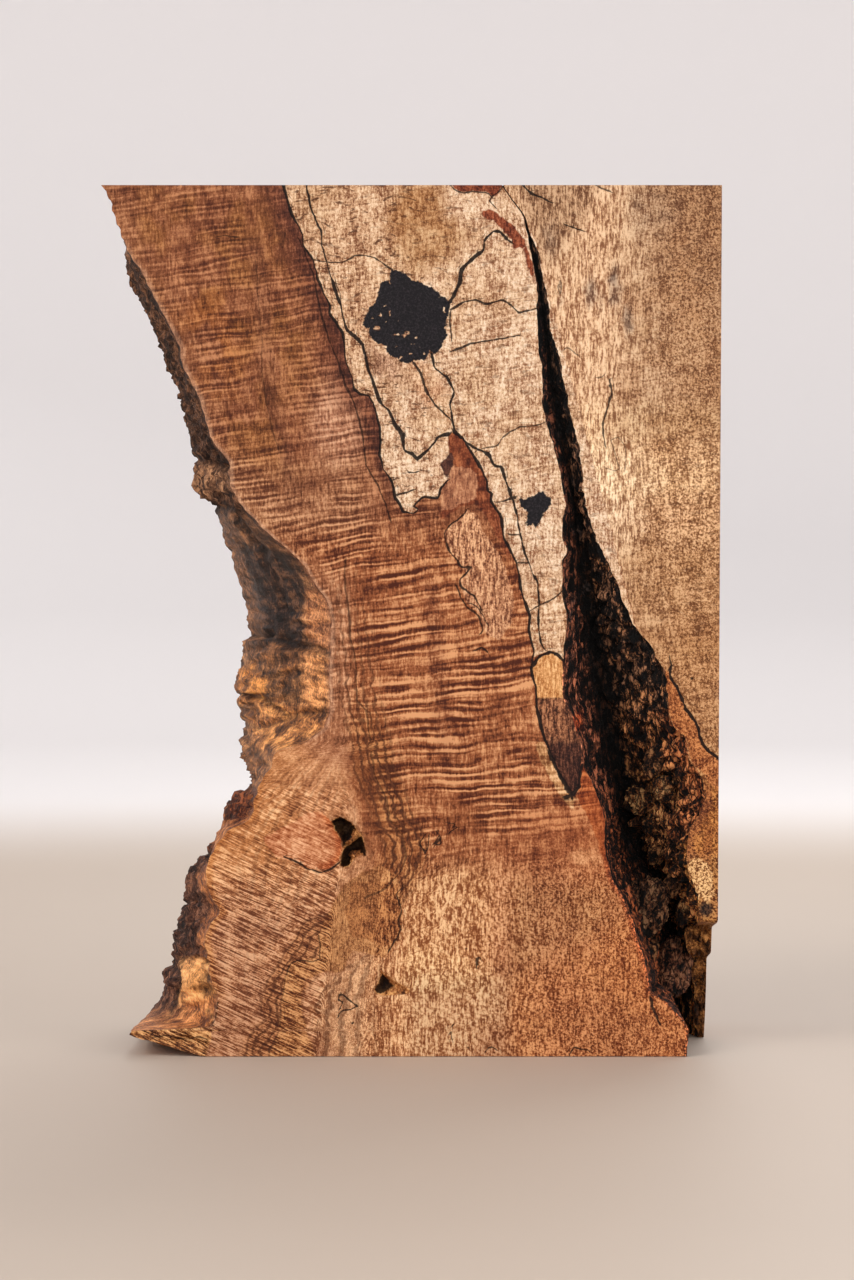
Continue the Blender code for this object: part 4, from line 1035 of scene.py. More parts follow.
# Painted shade inside the knot and the triangular pit: these fields turn them black towards their depths, away from the
# plugs.
knot_shade = np.minimum(knot, 9) + 9 * smooth(1.15, 0.85, plug) + 9 * smooth(1.1, 0.8, plug_low)
triangle_pit_shade = np.maximum(np.minimum(triangle, 9), 3.5 - 0.9 * np.hypot(0.8 * (FU - 378), 0.6 * (FV - 984)) * -1 - 9)
triangle_pit_shade = np.minimum(triangle, 9) + smooth(5, 14, np.hypot(FU - 377, 0.6 * (FV - 984))) * 5
front_only = section == 0
store(mesh, "grain", "FLOAT_VECTOR", stacked(FU, FV, DP))
store(mesh, "figure", "FLOAT_VECTOR", stacked(ring, curl, curl_size))
store(mesh, "texture", "FLOAT_VECTOR", stacked(slant, wavy, grit))
store(mesh, "detail", "FLOAT_VECTOR", stacked(dash, rim, rings_m))
store(mesh, "stain", "FLOAT_VECTOR", stacked(np.clip(blob, -6, 6), contrast, strip))
store(mesh, "hollows", "FLOAT_VECTOR", stacked(np.where(front_only, np.clip(knot_shade, -6, 6), 6), np.where(front_only, np.clip(triangle_pit_shade, -6, 6), 6), np.where(front_only, np.clip(np.minimum(knot, triangle), -6, 6), 6)))
store(mesh, "pits", "FLOAT", np.clip(pit_shade_field, 0, 1))
store(mesh, "ring_phase", "FLOAT", ring_phase)
store(mesh, "side", "FLOAT_VECTOR", stacked(bark_side, crease_shade, np.clip(AV, 0, 1100)))
store(mesh, "bark", "FLOAT_VECTOR", stacked(plates * 0.5 + 0.5 * big_id, crumbs * 0.6 + 0.4 * mid_id, right_wall_m))
for k, name in enumerate(("tone_dark", "tone_mid", "tone_light")):
    store(mesh, name, "FLOAT_COLOR", np.concatenate([tones[..., k, :], np.ones(U.shape + (1,))], axis=-1))
for k, name in enumerate(("pale_dark", "pale_mid", "pale_light")):
    store(mesh, name, "FLOAT_COLOR", np.concatenate([pale_tones[..., k, :], np.ones(U.shape + (1,))], axis=-1))
for k, (signed, width, dark) in enumerate(line_fields):
    store(mesh, f"line_{k}", "FLOAT_VECTOR", stacked(signed, width, dark))
zone_names = ["pale"] + [z[0] for z in ZONES]
while len(zone_names) % 3:
    zone_names.append(None)
for k in range(0, len(zone_names), 3):
    store(mesh, f"zone_{k // 3}", "FLOAT_VECTOR", stacked(*[zone_fields[z] if z else 0.0 for z in zone_names[k : k + 3]]))

# A layout for maps: the sawn front gets the most room.
PLACES = {  # section: (left, low, right, high)
    1: (0.612, 0.150, 0.700, 0.571), 2: (0.705, 0.150, 0.815, 0.571), 4: (0.916, 0.575, 0.996, 0.996),
    5: (0.612, 0.575, 0.912, 0.996), 6: (0.820, 0.150, 0.996, 0.571),
}
uv = np.zeros((len(quads), 4, 2))
quad_section = np.tile(grid_section, R - 1)
counts_of = np.take(COUNTS, quad_section)
start_of = np.take([START[n] for n in NAMES], quad_section)
left_share = (cols.reshape(-1) - start_of) / counts_of
right_share = left_share + 1 / counts_of
width, depth_all = high_corner[0] - low_corner[0], THICK
row_of = rows.reshape(-1)
for corner, (sh, rr, cc) in enumerate(((left_share, 0, cols), (right_share, 0, right_col), (right_share, 1, right_col), (left_share, 1, cols))):
    level = (FOOT_V - LEVELS[row_of + rr]) / (FOOT_V - TOP_V)
    x = flat[(row_of + rr) * C + cc.reshape(-1), 0]
    uu = 0.004 + 0.600 * (x - low_corner[0]) / width
    vv = 0.150 + 0.843 * level
    for k, (a, b, c, d) in PLACES.items():
        uu = np.where(quad_section == k, a + (c - a) * sh, uu)
        vv = np.where(quad_section == k, b + (d - b) * level, vv)
    uv[:, corner, 0], uv[:, corner, 1] = uu, vv
loops = [uv.reshape(-1, 2)]
for faces_of, shift in ((top_faces, 0.004), (foot_faces, 0.308)):
    if faces_of:
        ids = np.array(faces_of).reshape(-1)
        loops.append(np.stack([shift + 0.296 * (flat[ids, 0] - low_corner[0]) / width, 0.004 + 0.131 * (flat[ids, 1] + THICK / 2) / THICK], axis=-1))
mesh.uv_layers.new(name="OFBake").data.foreach_set("uv", np.concatenate(loops).astype(np.float32).reshape(-1))

block = bpy.data.objects.new("maple_burl_block", mesh)
bpy.context.scene.collection.objects.link(block)
print("lines in", len(groups), "groups;", len(quads) * 2 + capped, "triangles")


# ---- pieces of bark grown into the cleft -----------------------------------------------------------------------------
def lump(name, u, v, depth, size, seed, colours, turn=0.0, level=5, rough=1.0):
    """A rounded, cracked piece of bark; u and v as drawn, depth and size in metres."""
    bm = bmesh.new()
    bmesh.ops.create_icosphere(bm, subdivisions=level, radius=1.0)
    made = bpy.data.meshes.new(name)
    bm.to_mesh(made)
    bm.free()
    p = np.empty(len(made.vertices) * 3)
    made.vertices.foreach_get("co", p)
    p = p.reshape(-1, 3)
    out = p.copy()
    box_like = np.sign(p) * abs(p) ** 0.8
    out = 0.5 * out + 0.5 * box_like
    shape = 1 + 0.22 * rough * layered(p[:, 0] * 1.3, p[:, 1] * 1.3, p[:, 2] * 1.3, seed, 3)
    c1, c2, _ = cells(p[:, 0] * 2.2, p[:, 1] * 2.2, p[:, 2] * 1.5, seed + 5)
    d1, d2, dn = cells(p[:, 0] * 5.5, p[:, 1] * 5.5, p[:, 2] * 3.2, seed + 6)
    split_big, split_small = smooth(0.0, 0.16, c2 - c1), smooth(0.0, 0.22, d2 - d1)
    shape -= rough * (0.16 * (1 - split_big) + 0.07 * (1 - split_small)) - rough * 0.06 * (dn - 0.5)
    shape += rough * 0.05 * layered(p[:, 0] * 9, p[:, 1] * 9, p[:, 2] * 5, seed + 7, 3)
    out = out * shape[:, None] * np.array(size)
    ct, st = math.cos(turn), math.sin(turn)
    out = np.stack([out[:, 0] * ct + out[:, 2] * st, out[:, 1], -out[:, 0] * st + out[:, 2] * ct], axis=-1)
    near_by = 1 + depth / EYE
    centre = np.array([(u - EYE_U) * GRID * near_by + CENTRE_X, depth - THICK / 2, (FOOT_V - EYE_V - (v - EYE_V) * near_by) * GRID])
    world_p = np.minimum(np.maximum(out + centre, low_corner + 0.0004), high_corner - 0.0004)
    made.vertices.foreach_set("co", world_p.reshape(-1))
    made.shade_smooth()
    made.update()
    g = world_p / GRID
    store(made, "grain", "FLOAT_VECTOR", np.stack([g[:, 0] + EYE_U, FOOT_V - g[:, 2], g[:, 1] + 137], axis=-1))
    store(made, "bark", "FLOAT_VECTOR", np.stack([split_big, split_small * 0.6 + 0.4 * dn, np.ones(len(g))], axis=-1))
    for k, tone_name in enumerate(("tone_dark", "tone_mid", "tone_light")):
        store(made, tone_name, "FLOAT_COLOR", np.tile(np.append(shade(*colours[k]), 1.0), (len(g), 1)))
    piece = bpy.data.objects.new(name, made)
    bpy.context.scene.collection.objects.link(piece)
    return piece


GREY_BARK = ((19, 9, 5), (158, 100, 67), (215, 159, 115))
PURPLE_BARK = ((17, 8, 6), (138, 81, 57), (198, 136, 99))
TAN_BARK = ((24, 9, 3), (176, 104, 56), (250, 190, 126))
BROWN_BARK = ((16, 7, 3), (132, 78, 46), (226, 158, 104))
pieces = [
    lump("cleft_bark_1", 647, 906, 0.034, (0.0098, 0.0130, 0.0145), 401, GREY_BARK, 0.25),
    lump("cleft_bark_2", 673, 967, 0.056, (0.0090, 0.0140, 0.0145), 402, PURPLE_BARK, 0.15, 5, 0.7),
    lump("cleft_bark_3", 648, 951, 0.044, (0.0050, 0.0100, 0.0075), 403, BROWN_BARK, 0.3, 4),
    lump("cleft_bark_4", 640, 800, 0.046, (0.0075, 0.0080, 0.0065), 404, TAN_BARK, 0.2, 4, 1.3),
    lump("cleft_bark_5", 652, 825, 0.046, (0.0055, 0.0080, 0.0046), 405, TAN_BARK, -0.3, 4, 1.3),
    lump("cleft_bark_6", 658, 850, 0.050, (0.0048, 0.0080, 0.0070), 406, BROWN_BARK, 0.3, 4, 1.3),
    lump("cleft_bark_7", 676, 880, 0.040, (0.0050, 0.0090, 0.0080), 407, BROWN_BARK, 0.5, 4, 1.3),
    lump("cleft_bark_8", 684, 912, 0.040, (0.0040, 0.0090, 0.0075), 408, TAN_BARK, 0.2, 4, 1.3),
    lump("cleft_bark_9", 664, 790, 0.026, (0.0050, 0.0060, 0.0060), 409, TAN_BARK, 0.0, 4, 1.3),
    lump("cleft_bark_10", 655, 762, 0.028, (0.0050, 0.0060, 0.0070), 410, BROWN_BARK, 0.4, 4, 1.3),
]


# ---- materials -------------------------------------------------------------------------------------------------------
class Nodes:
    """A material's nodes, made by short calls."""

    def __init__(self, name):
        self.material = bpy.data.materials.new(name)
        self.material.use_nodes = True
        self.tree = self.material.node_tree
        self.shader = self.tree.nodes["Principled BSDF"]

    def put(self, socket, value):
        if isinstance(value, bpy.types.NodeSocket):
            self.tree.links.new(value, socket)
        elif value is not None:
            socket.default_value = value

    def new(self, kind, **settings):
        node = self.tree.nodes.new(kind)
        for key, value in settings.items():
            setattr(node, key, value)
        return node

    def vector(self, name):
        return self.new("ShaderNodeAttribute", attribute_name=name).outputs["Vector"]

    def tint(self, name):
        return self.new("ShaderNodeAttribute", attribute_name=name).outputs["Color"]

    def split(self, vector):
        node = self.new("ShaderNodeSeparateXYZ")
        self.put(node.inputs[0], vector)
        return node.outputs

    def join(self, x, y, z):
        node = self.new("ShaderNodeCombineXYZ")
        for socket, value in zip(node.inputs, (x, y, z)):
            self.put(socket, value)
        return node.outputs[0]

    def math(self, kind, a, b=None, c=None, clamp=False):
        node = self.new("ShaderNodeMath", operation=kind, use_clamp=clamp)
        for socket, value in zip(node.inputs, (a, b, c)):
            self.put(socket, value)
        return node.outputs[0]

    def add(self, a, b):
        return self.math("ADD", a, b)

    def times(self, a, b):
        return self.math("MULTIPLY", a, b)

    def noise(self, vector, scale=1.0, detail=2.0, rough=0.5):
        node = self.new("ShaderNodeTexNoise")
        self.put(node.inputs["Vector"], vector)
        node.inputs["Scale"].default_value = scale
        node.inputs["Detail"].default_value = detail
        node.inputs["Roughness"].default_value = rough
        return node.outputs[0]

    def voronoi(self, vector, scale=1.0, feature="F1"):
        node = self.new("ShaderNodeTexVoronoi", feature=feature)
        self.put(node.inputs["Vector"], vector)
        node.inputs["Scale"].default_value = scale
        return node.outputs[0]

    def range(self, value, low, high, out_low=0.0, out_high=1.0, kind="SMOOTHSTEP"):
        node = self.new("ShaderNodeMapRange", interpolation_type=kind)
        for socket, v in zip(node.inputs[:5], (value, low, high, out_low, out_high)):
            self.put(socket, v)
        return node.outputs[0]

    def spread(self, value, low, high):
        """A noise value stretched to run from -1 to 1."""
        return self.range(value, low, high, -1.0, 1.0, "LINEAR")

    def mix(self, share_in, a, b, kind="MIX"):
        node = self.new("ShaderNodeMix", data_type="RGBA", blend_type=kind)
        self.put(node.inputs[0], share_in)
        self.put(node.inputs[6], a)
        self.put(node.inputs[7], b)
        return node.outputs[2]

    def mix_value(self, share_in, a, b):
        node = self.new("ShaderNodeMix", data_type="FLOAT")
        self.put(node.inputs[0], share_in)
        self.put(node.inputs[2], a)
        self.put(node.inputs[3], b)
        return node.outputs[0]

    def ramp(self, tone, dark, mid, light):
        low_half = self.range(tone, 0.08, 0.5, 0.0, 1.0, "LINEAR")
        high_half = self.range(tone, 0.5, 0.92, 0.0, 1.0, "LINEAR")
        return self.mix(high_half, self.mix(low_half, dark, mid), light)

    def bump(self, height, strength, distance, before=None):
        node = self.new("ShaderNodeBump")
        node.inputs["Strength"].default_value = strength
        node.inputs["Distance"].default_value = distance
        self.put(node.inputs["Height"], height)
        if before is not None:
            self.put(node.inputs["Normal"], before)
        return node.outputs[0]


def colour(r, g, b):
    return (*[float(c) for c in shade(r, g, b)], 1.0)


def figured_wood(name, drawn):
    """Spalted, curly wood; drawn is true for the faces that carry the lines and patches of the sawn front."""
    n = Nodes(name)
    grain = n.vector("grain")
    gu, gv, gd = n.split(grain)
    ring_s, curl_s, curl_a = n.split(n.vector("figure"))
    slant_s, wavy_s, grit_s = n.split(n.vector("texture"))
    dash_s, rim_s, rings_s = n.split(n.vector("detail"))
    blob_s, contrast_s, strip_s = n.split(n.vector("stain"))
    knot_shade_s, triangle_pit_shade_s, hollow_s = n.split(n.vector("hollows"))

    # Fibres: short flecks along the trunk, slanting ones at the lower left, and an even grit in the burl wood.
    turned = n.join(
        n.add(n.add(n.times(gu, 0.80), n.times(gv, 0.36)), n.times(gd, 0.48)),
        n.add(n.add(n.times(gu, -0.60), n.times(gv, 0.48)), n.times(gd, 0.64)),
        n.add(n.times(gv, -0.80), n.times(gd, 0.60)),
    )
    even = n.noise(turned, 0.44, 3.0, 0.80)
    over = n.add(n.times(gu, -0.423), n.times(gv, 0.906))
    down = n.add(n.times(gu, 0.906), n.times(gv, 0.423))
    across = n.mix_value(slant_s, gu, over)
    running = n.mix_value(slant_s, gv, down)
    along = n.join(
        n.times(across, n.mix_value(slant_s, 0.40, 0.54)),
        n.times(running, n.mix_value(slant_s, 0.075, 0.040)),
        n.add(n.times(gd, 0.25), n.add(n.times(across, 0.17), n.times(running, 0.010))),
    )
    fibre = n.noise(along, 1.0, 3.0, 0.76)
    fleck = n.add(n.times(n.spread(fibre, 0.36, 0.64), n.math("SUBTRACT", 1.0, grit_s)), n.times(n.spread(even, 0.36, 0.64), grit_s))
    # Broader clouds of light and dark, and a slow bend shared by lines and stripes.
    patchy_n = n.noise(grain, 0.055, 3.0, 0.62)
    patchy = n.spread(patchy_n, 0.34, 0.66)
    bend = n.noise(n.join(n.times(gu, 0.018), n.times(gv, 0.022), n.times(gd, 0.012)), 1.0, 2.0)

    # Curl: close, nearly straight stripes across the fibres; thin light ones, broad dark ones and finer ones between.
    phase = n.add(curl_s, n.times(n.math("SUBTRACT", bend, 0.5), 1.1))
    phase = n.add(phase, n.times(fleck, 0.022))
    wide = n.noise(n.join(n.times(ring_s, 0.0055), n.times(phase, 0.95), n.times(gd, 0.006)), 1.0, 1.0, 0.55)
    thin = n.noise(n.join(n.times(ring_s, 0.0085), n.times(phase, 3.1), n.times(gd, 0.01)), 1.0, 1.0, 0.6)
    turn = n.math("MULTIPLY_ADD", wide, 2.1, n.times(phase, 1.55))
    regular = n.math("SINE", n.times(turn, 2 * math.pi))
    regular = n.math("SUBTRACT", n.times(n.math("POWER", n.math("MULTIPLY_ADD", regular, 0.5, 0.5), 1.5), 2.0), 0.85)
    stripe = n.add(n.times(n.spread(wide, 0.36, 0.62), 0.38), n.times(n.spread(thin, 0.36, 0.64), 0.55))
    strength = n.noise(n.join(n.times(ring_s, 0.016), n.times(gv, 0.016), n.times(gd, 0.01)), 1.0, 1.0)
    stripe = n.add(stripe, n.times(regular, n.range(strength, 0.36, 0.62, 0.15, 0.75)))
    stripe = n.times(n.times(stripe, curl_a), n.range(strength, 0.30, 0.55, 0.55, 1.0))

    # Growth rings, and the wavering pale lines of the lower middle.
    bands = n.spread(n.noise(n.join(n.times(ring_s, 0.085), n.times(gv, 0.004), n.times(gd, 0.006)), 1.0, 2.0, 0.6), 0.32, 0.68)
    crook = n.noise(grain, 0.085, 2.0, 0.6)
    shimmer = n.math("SINE", n.math("MULTIPLY_ADD", crook, 9.0, n.times(gv, 2 * math.pi / 12.0)))
    waves = n.math("MULTIPLY_ADD", shimmer, 0.32, n.times(ring_s, 0.150))
    waves = n.add(waves, n.math("MULTIPLY_ADD", patchy_n, 3.2, n.times(crook, 1.6)))
    waves = n.times(n.math("SINE", n.times(waves, 2 * math.pi)), wavy_s)

    tone = n.math("MULTIPLY_ADD", n.times(fleck, contrast_s), 0.37, 0.485)
    tone = n.math("MULTIPLY_ADD", stripe, 0.42, tone)
    tone = n.math("MULTIPLY_ADD", bands, 0.12, tone)
    tone = n.math("MULTIPLY_ADD", waves, 0.20, tone)
    tone = n.math("MULTIPLY_ADD", patchy, 0.16, tone, clamp=True)
    wood = n.ramp(tone, *(n.tint(name) for name in ("tone_dark", "tone_mid", "tone_light")))
    # Pale rim along the natural edge.
    wood = n.mix(n.times(rim_s, 0.35), wood, n.mix(n.range(fleck, -1, 1), colour(150, 108, 84), colour(216, 176, 144)))

    # Fine dark ring lines, a few squares apart, that waver together.
    phase_in = n.new("ShaderNodeAttribute", attribute_name="ring_phase").outputs["Fac"]
    rows_at = n.add(phase_in, n.math("MULTIPLY_ADD", crook, 0.9, n.times(patchy_n, 0.9)))
    ring_line = n.math("SINE", n.times(rows_at, 2 * math.pi))
    ring_line = n.times(n.range(ring_line, -0.1, 0.95), rings_s)
    wood = n.mix(n.times(ring_line, 0.95), wood, n.mix(n.range(fleck, -1, 1), colour(46, 18, 7), colour(108, 58, 30)))

    shake = n.times(n.math("SUBTRACT", n.noise(grain, 0.8, 2.0), 0.5), 1.0)
    pale_ramp = n.ramp(tone, *(n.tint(name) for name in ("pale_dark", "pale_mid", "pale_light")))
    zones = []
    for k in range(len(zone_names) // 3 if drawn else 1):
        zones += list(n.split(n.vector(f"zone_{k}")))
    pale_mask = n.range(n.add(zones[0], shake), 0.45, -0.45)
    wood = n.mix(pale_mask, wood, pale_ramp)
    # Short dark checks across the fibres, in rows.
    check = n.noise(n.join(n.times(gu, 0.075), n.times(n.add(n.times(gv, 0.077), n.times(bend, 2.0)), 3.2), n.times(gd, 0.06)), 1.0, 2.0, 0.62)
    check_where = n.range(patchy_n, 0.60, 0.44, 0.25, 1.0)
    checks = n.times(n.range(check, 0.56, 0.625), n.times(dash_s, check_where))
    wood = n.mix(n.times(checks, 0.88), wood, colour(78, 42, 22))
    for k, (name, outlines, rough, dark_c, mid_c, light_c) in enumerate(ZONES if drawn else []):
        mask = n.range(n.add(zones[k + 1], n.times(shake, rough)), 0.5, -0.5)
        fill = n.ramp(tone, *(tuple(np.multiply(colour(*c), (0.88, 0.83, 0.78, 1.0))) for c in (dark_c, mid_c, light_c)))
        if name == "tongue":
            step = n.add(gv, n.times(shake, 2.0))
            fill = n.mix(n.range(step, 696.5, 699.0), fill, n.ramp(tone, colour(40, 17, 9), colour(118, 69, 44), colour(188, 130, 90)))
            fill = n.mix(n.range(n.add(gv, n.times(shake, 6.0)), 736, 746), fill, n.ramp(tone, colour(22, 8, 5), colour(60, 28, 19), colour(108, 64, 44)))
        if name == "knob":
            ember = n.times(n.range(zones[k + 1], -9.0, -1.0), n.range(gu, 312, 330))
            fill = n.mix(n.times(ember, 0.85), fill, n.ramp(tone, colour(116, 44, 16), colour(186, 96, 48), colour(228, 152, 96)))
        wood = n.mix(mask, wood, fill)

    # Vessels and specks.
    specks = n.range(fibre, 0.30, 0.24, 0.0, 0.6)
    wood = n.mix(specks, wood, colour(54, 28, 16))

    # Black spalt lines and dark rings of the front, with painted shade in its cracks, pits and toe creases; deeper in,
    # zone lines wander on through the pale wood.
    ink_and_shade = None
    for k in range(len(groups) if drawn else 0):
        signed_s, width_s, dark_s = n.split(n.vector(f"line_{k}"))
        away = n.math("ABSOLUTE", n.add(signed_s, shake))
        mask = n.times(n.range(away, n.add(width_s, 0.35), n.math("SUBTRACT", width_s, 0.40)), dark_s)
        ink_and_shade = mask if ink_and_shade is None else n.math("MAXIMUM", ink_and_shade, mask)
    if drawn:
        # Painted shade in the round pits.
        ink_and_shade = n.math("MAXIMUM", ink_and_shade, n.times(n.range(n.new("ShaderNodeAttribute", attribute_name="pits").outputs["Fac"], 0.42, 0.70), 0.95))
    else:
        wander = n.new("ShaderNodeVectorMath", operation="MULTIPLY_ADD")
        stray = n.new("ShaderNodeTexNoise")
        n.put(stray.inputs["Vector"], grain)
        stray.inputs["Scale"].default_value = 0.03
        stray.inputs["Detail"].default_value = 3.0
        n.put(wander.inputs[0], stray.outputs["Color"])
        wander.inputs[1].default_value = (60.0, 60.0, 60.0)
        n.put(wander.inputs[2], grain)
        zone_line = n.voronoi(wander.outputs[0], 0.0095, "DISTANCE_TO_EDGE")
        zone_line = n.times(n.range(zone_line, 0.020, 0.008), n.range(zones[0], 4.0, -6.0))
        border = n.range(n.math("ABSOLUTE", n.add(zones[0], n.times(shake, 1.6))), 1.9, 0.9)
        ink_and_shade = n.math("MAXIMUM", zone_line, border)
    wood = n.mix(n.times(ink_and_shade, 0.97), wood, colour(20, 13, 12))
    if drawn:
        blob_edge = n.add(blob_s, n.times(n.math("SUBTRACT", n.noise(grain, 0.35, 2.0, 0.65), 0.5), 3.2))
        blob_mask = n.range(blob_edge, 0.4, -0.4)
        blob_fill = n.mix(n.range(even, 0.44, 0.72), colour(13, 11, 15), colour(44, 37, 41))
        wood = n.mix(blob_mask, wood, blob_fill)

    height = n.math("MULTIPLY_ADD", even, 0.5, n.times(ink_and_shade, -1.0))
    if drawn:
        # Hollows: brown torn wood, with painted shade that turns black where they are deepest; the broken strip is half
        # bark.
        torn = n.mix_value(0.5, even, crook)
        torn_tone = n.range(torn, 0.40, 0.60, 0.0, 1.0, "LINEAR")
        torn_fill = n.ramp(torn_tone, colour(52, 22, 8), colour(160, 94, 46), colour(240, 178, 112))
        hollow_mask = n.range(n.add(hollow_s, n.times(shake, 1.2)), 0.7, -0.5)
        wood = n.mix(n.times(hollow_mask, 0.92), wood, torn_fill)
        # Painted shade: the knot and the pit turn black inside.
        black = n.math("MAXIMUM", n.range(n.add(knot_shade_s, n.times(shake, 1.6)), 0.2, -1.2), n.range(n.add(triangle_pit_shade_s, n.times(shake, 3.0)), 0.4, -1.6))
        wood = n.mix(n.times(black, 0.94), wood, colour(12, 5, 4))
        rotten = n.ramp(torn_tone, *(n.tint(name) for name in ("tone_dark", "tone_mid", "tone_light")))
        wood = n.mix(n.times(strip_s, 0.9), wood, rotten)
        height = n.math("MULTIPLY_ADD", n.times(torn, n.math("MAXIMUM", hollow_mask, strip_s)), 4.0, height)

    n.put(n.shader.inputs["Base Color"], wood)
    n.put(n.shader.inputs["Roughness"], n.math("MULTIPLY_ADD", ink_and_shade, 0.2, n.math("MULTIPLY_ADD", fleck, -0.05, 0.60)))
    n.shader.inputs["Specular IOR Level"].default_value = 0.16
    n.put(n.shader.inputs["Normal"], n.bump(height, 0.6, 0.0007))
    return n.material


def cleft_bark():
    n = Nodes("cleft_bark")
    grain = n.vector("grain")
    gu, gv, gd = n.split(grain)
    plates_s, crumbs_s, right_s = n.split(n.vector("bark"))
    streaks = n.noise(n.join(n.times(gu, 0.16), n.times(gv, 0.035), n.times(gd, 0.16)), 1.0, 4.0, 0.65)
    lumps_s = n.noise(grain, 0.075, 4.0, 0.58)
    gritty = n.noise(grain, 0.50, 3.0, 0.7)
    tone = n.math("MULTIPLY_ADD", n.spread(streaks, 0.38, 0.62), 0.46, 0.42)
    tone = n.math("MULTIPLY_ADD", n.spread(lumps_s, 0.38, 0.62), 0.50, tone)
    tone = n.math("MULTIPLY_ADD", n.spread(gritty, 0.34, 0.66), 0.28, tone)
    tone = n.math("MULTIPLY_ADD", n.math("SUBTRACT", crumbs_s, 0.55), n.math("MULTIPLY_ADD", right_s, 0.30, 0.10), tone, clamp=True)
    bark = n.ramp(tone, *(n.tint(name) for name in ("tone_dark", "tone_mid", "tone_light")))
    grey = n.times(n.range(n.noise(grain, 0.05, 3.0), 0.52, 0.68), n.range(gv, 760, 620, 0.0, 0.6))
    bark = n.mix(grey, bark, n.mix(n.range(tone, 0.2, 0.8), colour(14, 13, 14), colour(92, 86, 84)))
    splits = n.voronoi(n.join(n.math("MULTIPLY_ADD", streaks, 1.2, n.times(gu, 0.17)), n.math("MULTIPLY_ADD", lumps_s, 1.2, n.times(gv, 0.085)), n.times(gd, 0.17)), 1.0, "DISTANCE_TO_EDGE")
    splits = n.range(splits, 0.13, 0.02)
    bark = n.mix(n.times(splits, 0.85), bark, colour(8, 5, 4))
    n.put(n.shader.inputs["Base Color"], bark)
    n.put(n.shader.inputs["Roughness"], n.range(gritty, 0.3, 0.7, 0.66, 0.90))
    n.shader.inputs["Specular IOR Level"].default_value = 0.3
    height = n.add(n.times(lumps_s, 1.2), n.times(streaks, 0.9))
    height = n.math("SUBTRACT", n.math("MULTIPLY_ADD", gritty, 0.8, height), n.times(splits, 0.8))
    n.put(n.shader.inputs["Normal"], n.bump(height, 1.0, 0.0042))
    return n.material


def natural_side():
    n = Nodes("natural_side")
    grain = n.vector("grain")
    gu, gv, gd = n.split(grain)
    bark_s, crease_shade_s, seen_s = n.split(n.vector("side"))
    fibre = n.noise(n.join(n.times(gu, 0.05), n.times(gv, 0.022), n.times(gd, 0.13)), 1.0, 4.0, 0.68)
    rows_s = n.noise(n.join(n.times(gu, 0.03), n.times(gv, 0.13), n.times(gd, 0.022)), 1.0, 3.0, 0.6)
    gritty = n.noise(n.join(n.times(gu, 0.42), n.times(gv, 0.32), n.times(gd, 0.5)), 1.0, 3.0, 0.7)
    lumps_s = n.noise(n.join(n.times(gu, 0.06), n.times(gv, 0.045), n.times(gd, 0.10)), 1.0, 4.0, 0.66)
    tone = n.math("MULTIPLY_ADD", n.spread(fibre, 0.32, 0.68), 0.24, 0.44)
    tone = n.math("MULTIPLY_ADD", n.spread(rows_s, 0.34, 0.66), n.math("MULTIPLY_ADD", bark_s, -0.10, 0.28), tone)
    tone = n.math("MULTIPLY_ADD", n.spread(gritty, 0.3, 0.7), 0.32, tone)
    tone = n.math("MULTIPLY_ADD", n.spread(lumps_s, 0.34, 0.66), n.math("MULTIPLY_ADD", bark_s, 0.24, 0.18), tone, clamp=True)
    shown = n.ramp(tone, *(n.tint(name) for name in ("tone_dark", "tone_mid", "tone_light")))
    # Painted shade in the creases.
    shown = n.mix(n.times(crease_shade_s, 0.85), shown, colour(16, 9, 7))
    n.put(n.shader.inputs["Base Color"], shown)
    n.put(n.shader.inputs["Roughness"], n.range(bark_s, 0.0, 1.0, 0.55, 0.80))
    n.shader.inputs["Specular IOR Level"].default_value = 0.3
    height = n.add(n.times(fibre, 0.7), n.times(gritty, 0.35))
    height = n.math("MULTIPLY_ADD", rows_s, 0.4, height)
    height = n.math("MULTIPLY_ADD", n.times(lumps_s, bark_s), 1.2, height)
    n.put(n.shader.inputs["Normal"], n.bump(height, 0.95, 0.0032))
    return n.material


def plain(name, floor_c, wall_c, rough):
    n = Nodes(name)
    n.shader.inputs["Roughness"].default_value = rough
    object_at = n.new("ShaderNodeTexCoord").outputs["Object"]
    flat_at = n.new("ShaderNodeVectorMath", operation="MULTIPLY")
    n.put(flat_at.inputs[0], object_at)
    flat_at.inputs[1].default_value = (1.0, 1.0, 0.0)
    away = n.new("ShaderNodeVectorMath", operation="LENGTH")
    n.put(away.inputs[0], flat_at.outputs[0])
    cloud = n.noise(object_at, 3.0, 4.0, 0.6)
    ground = n.mix(n.times(cloud, 0.14), colour(*floor_c), colour(*[k * 0.84 for k in floor_c]))
    n.put(n.shader.inputs["Base Color"], n.mix(n.range(away.outputs["Value"], 1.0, 2.3), ground, colour(*wall_c)))
    return n.material


bark_material = cleft_bark()
for made in (figured_wood("figured_wood", True), bark_material, natural_side(), figured_wood("deep_wood", False)):
    mesh.materials.append(made)
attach(block, "root")
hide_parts("maple_burl")
for piece in pieces:
    piece.data.materials.append(bark_material)
    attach(piece, "root")

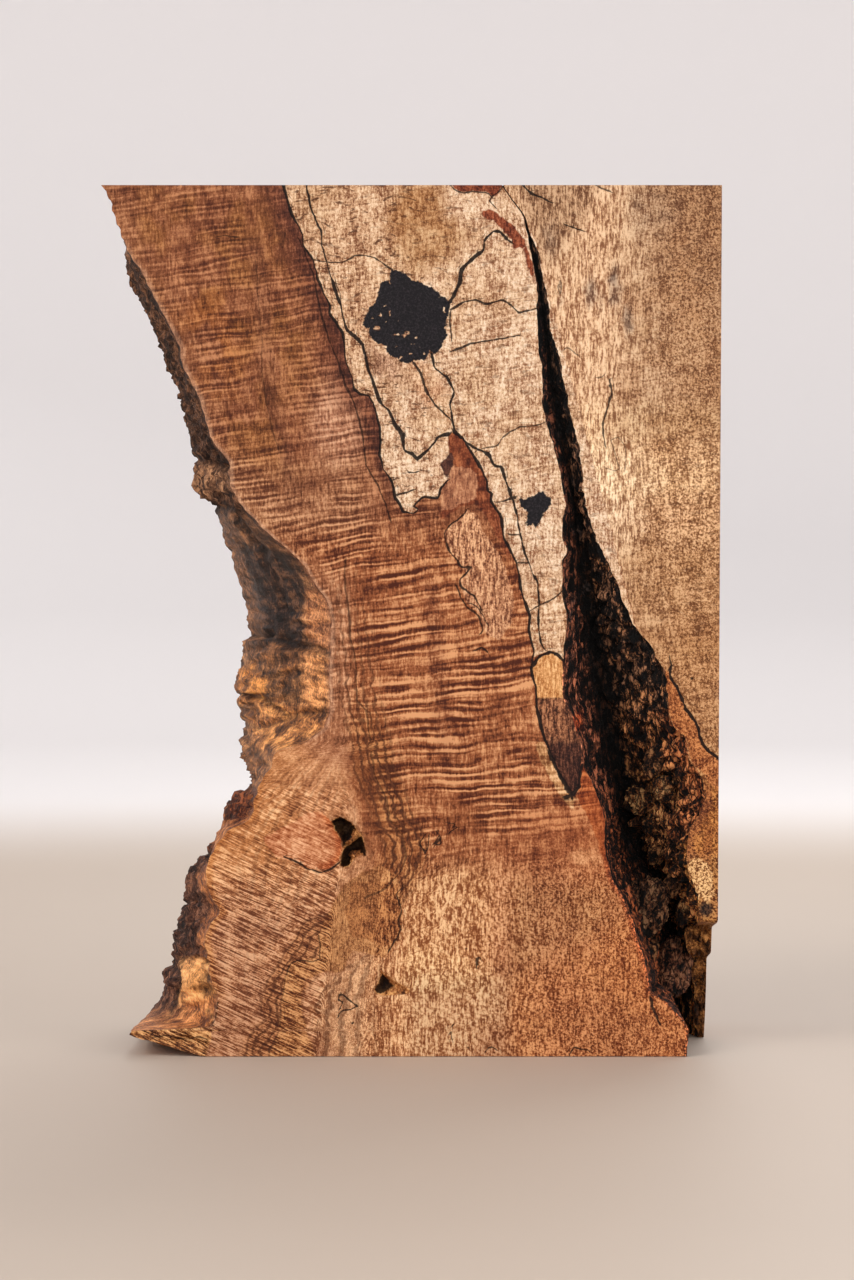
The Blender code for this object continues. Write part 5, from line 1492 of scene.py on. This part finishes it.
# ---- floor, light and camera -----------------------------------------------------------------------------------------
floor_bm = bmesh.new()
profile = [(2.2, 0.0), (2.7, 0.04), (3.1, 0.22), (3.35, 0.6), (3.45, 1.1), (3.45, 2.4)]
turns = 96
circles = []
for radius, z in profile:
    circles.append([floor_bm.verts.new((radius * math.cos(2 * math.pi * k / turns), radius * math.sin(2 * math.pi * k / turns), z)) for k in range(turns)])
floor_bm.faces.new(circles[0])
for inner, outer in zip(circles, circles[1:]):
    for k in range(turns):
        floor_bm.faces.new((inner[k], outer[k], outer[(k + 1) % turns], inner[(k + 1) % turns]))
floor_mesh = bpy.data.meshes.new("studio_floor")
floor_bm.to_mesh(floor_mesh)
floor_bm.free()
floor_mesh.shade_smooth()
floor_object = bpy.data.objects.new("studio_floor", floor_mesh)
floor_object.location.z = -0.0002
bpy.context.scene.collection.objects.link(floor_object)
floor_mesh.materials.append(plain("studio_floor", (196, 180, 165), (250, 246, 245), 0.6))


def area(name, place, aim, size, power, tint):
    data = bpy.data.lights.new(name, "AREA")
    data.shape = "RECTANGLE"
    data.size, data.size_y = size
    data.energy = power
    data.color = tint
    lamp = bpy.data.objects.new(name, data)
    lamp.location = place
    lamp.rotation_euler = (Vector(aim) - Vector(place)).to_track_quat("-Z", "Y").to_euler()
    bpy.context.scene.collection.objects.link(lamp)


area("key", (-1.5, -1.5, 1.7), (0, 0, 0.18), (1.2, 1.0), 28, (1.0, 0.965, 0.92))
area("fill", (1.7, -1.3, 0.9), (0, 0, 0.2), (1.4, 1.4), 12, (0.95, 0.97, 1.0))
area("front", (0.25, -2.2, 0.5), (0, 0, 0.18), (1.0, 0.8), 13, (1.0, 0.98, 0.95))
area("back", (0.6, 1.8, 1.8), (0, 0, 0.2), (1.6, 1.0), 26, (1.0, 0.98, 0.95))
world = bpy.data.worlds.new("studio")
world.use_nodes = True
world.node_tree.nodes["Background"].inputs["Color"].default_value = (0.95, 0.96, 1.0, 1.0)
world.node_tree.nodes["Background"].inputs["Strength"].default_value = 0.52
bpy.context.scene.world = world
bpy.context.scene.view_settings.view_transform = "Standard"

camera_data = bpy.data.cameras.new("camera")
camera_data.lens = 85.0
camera_data.sensor_width = 36.0
camera_data.clip_end = 50.0
camera = bpy.data.objects.new("camera", camera_data)
camera.location = (CENTRE_X, -THICK / 2 - EYE, (FOOT_V - EYE_V) * GRID)
camera.rotation_euler = (math.pi / 2, 0, 0)
bpy.context.scene.collection.objects.link(camera)
bpy.context.scene.camera = camera
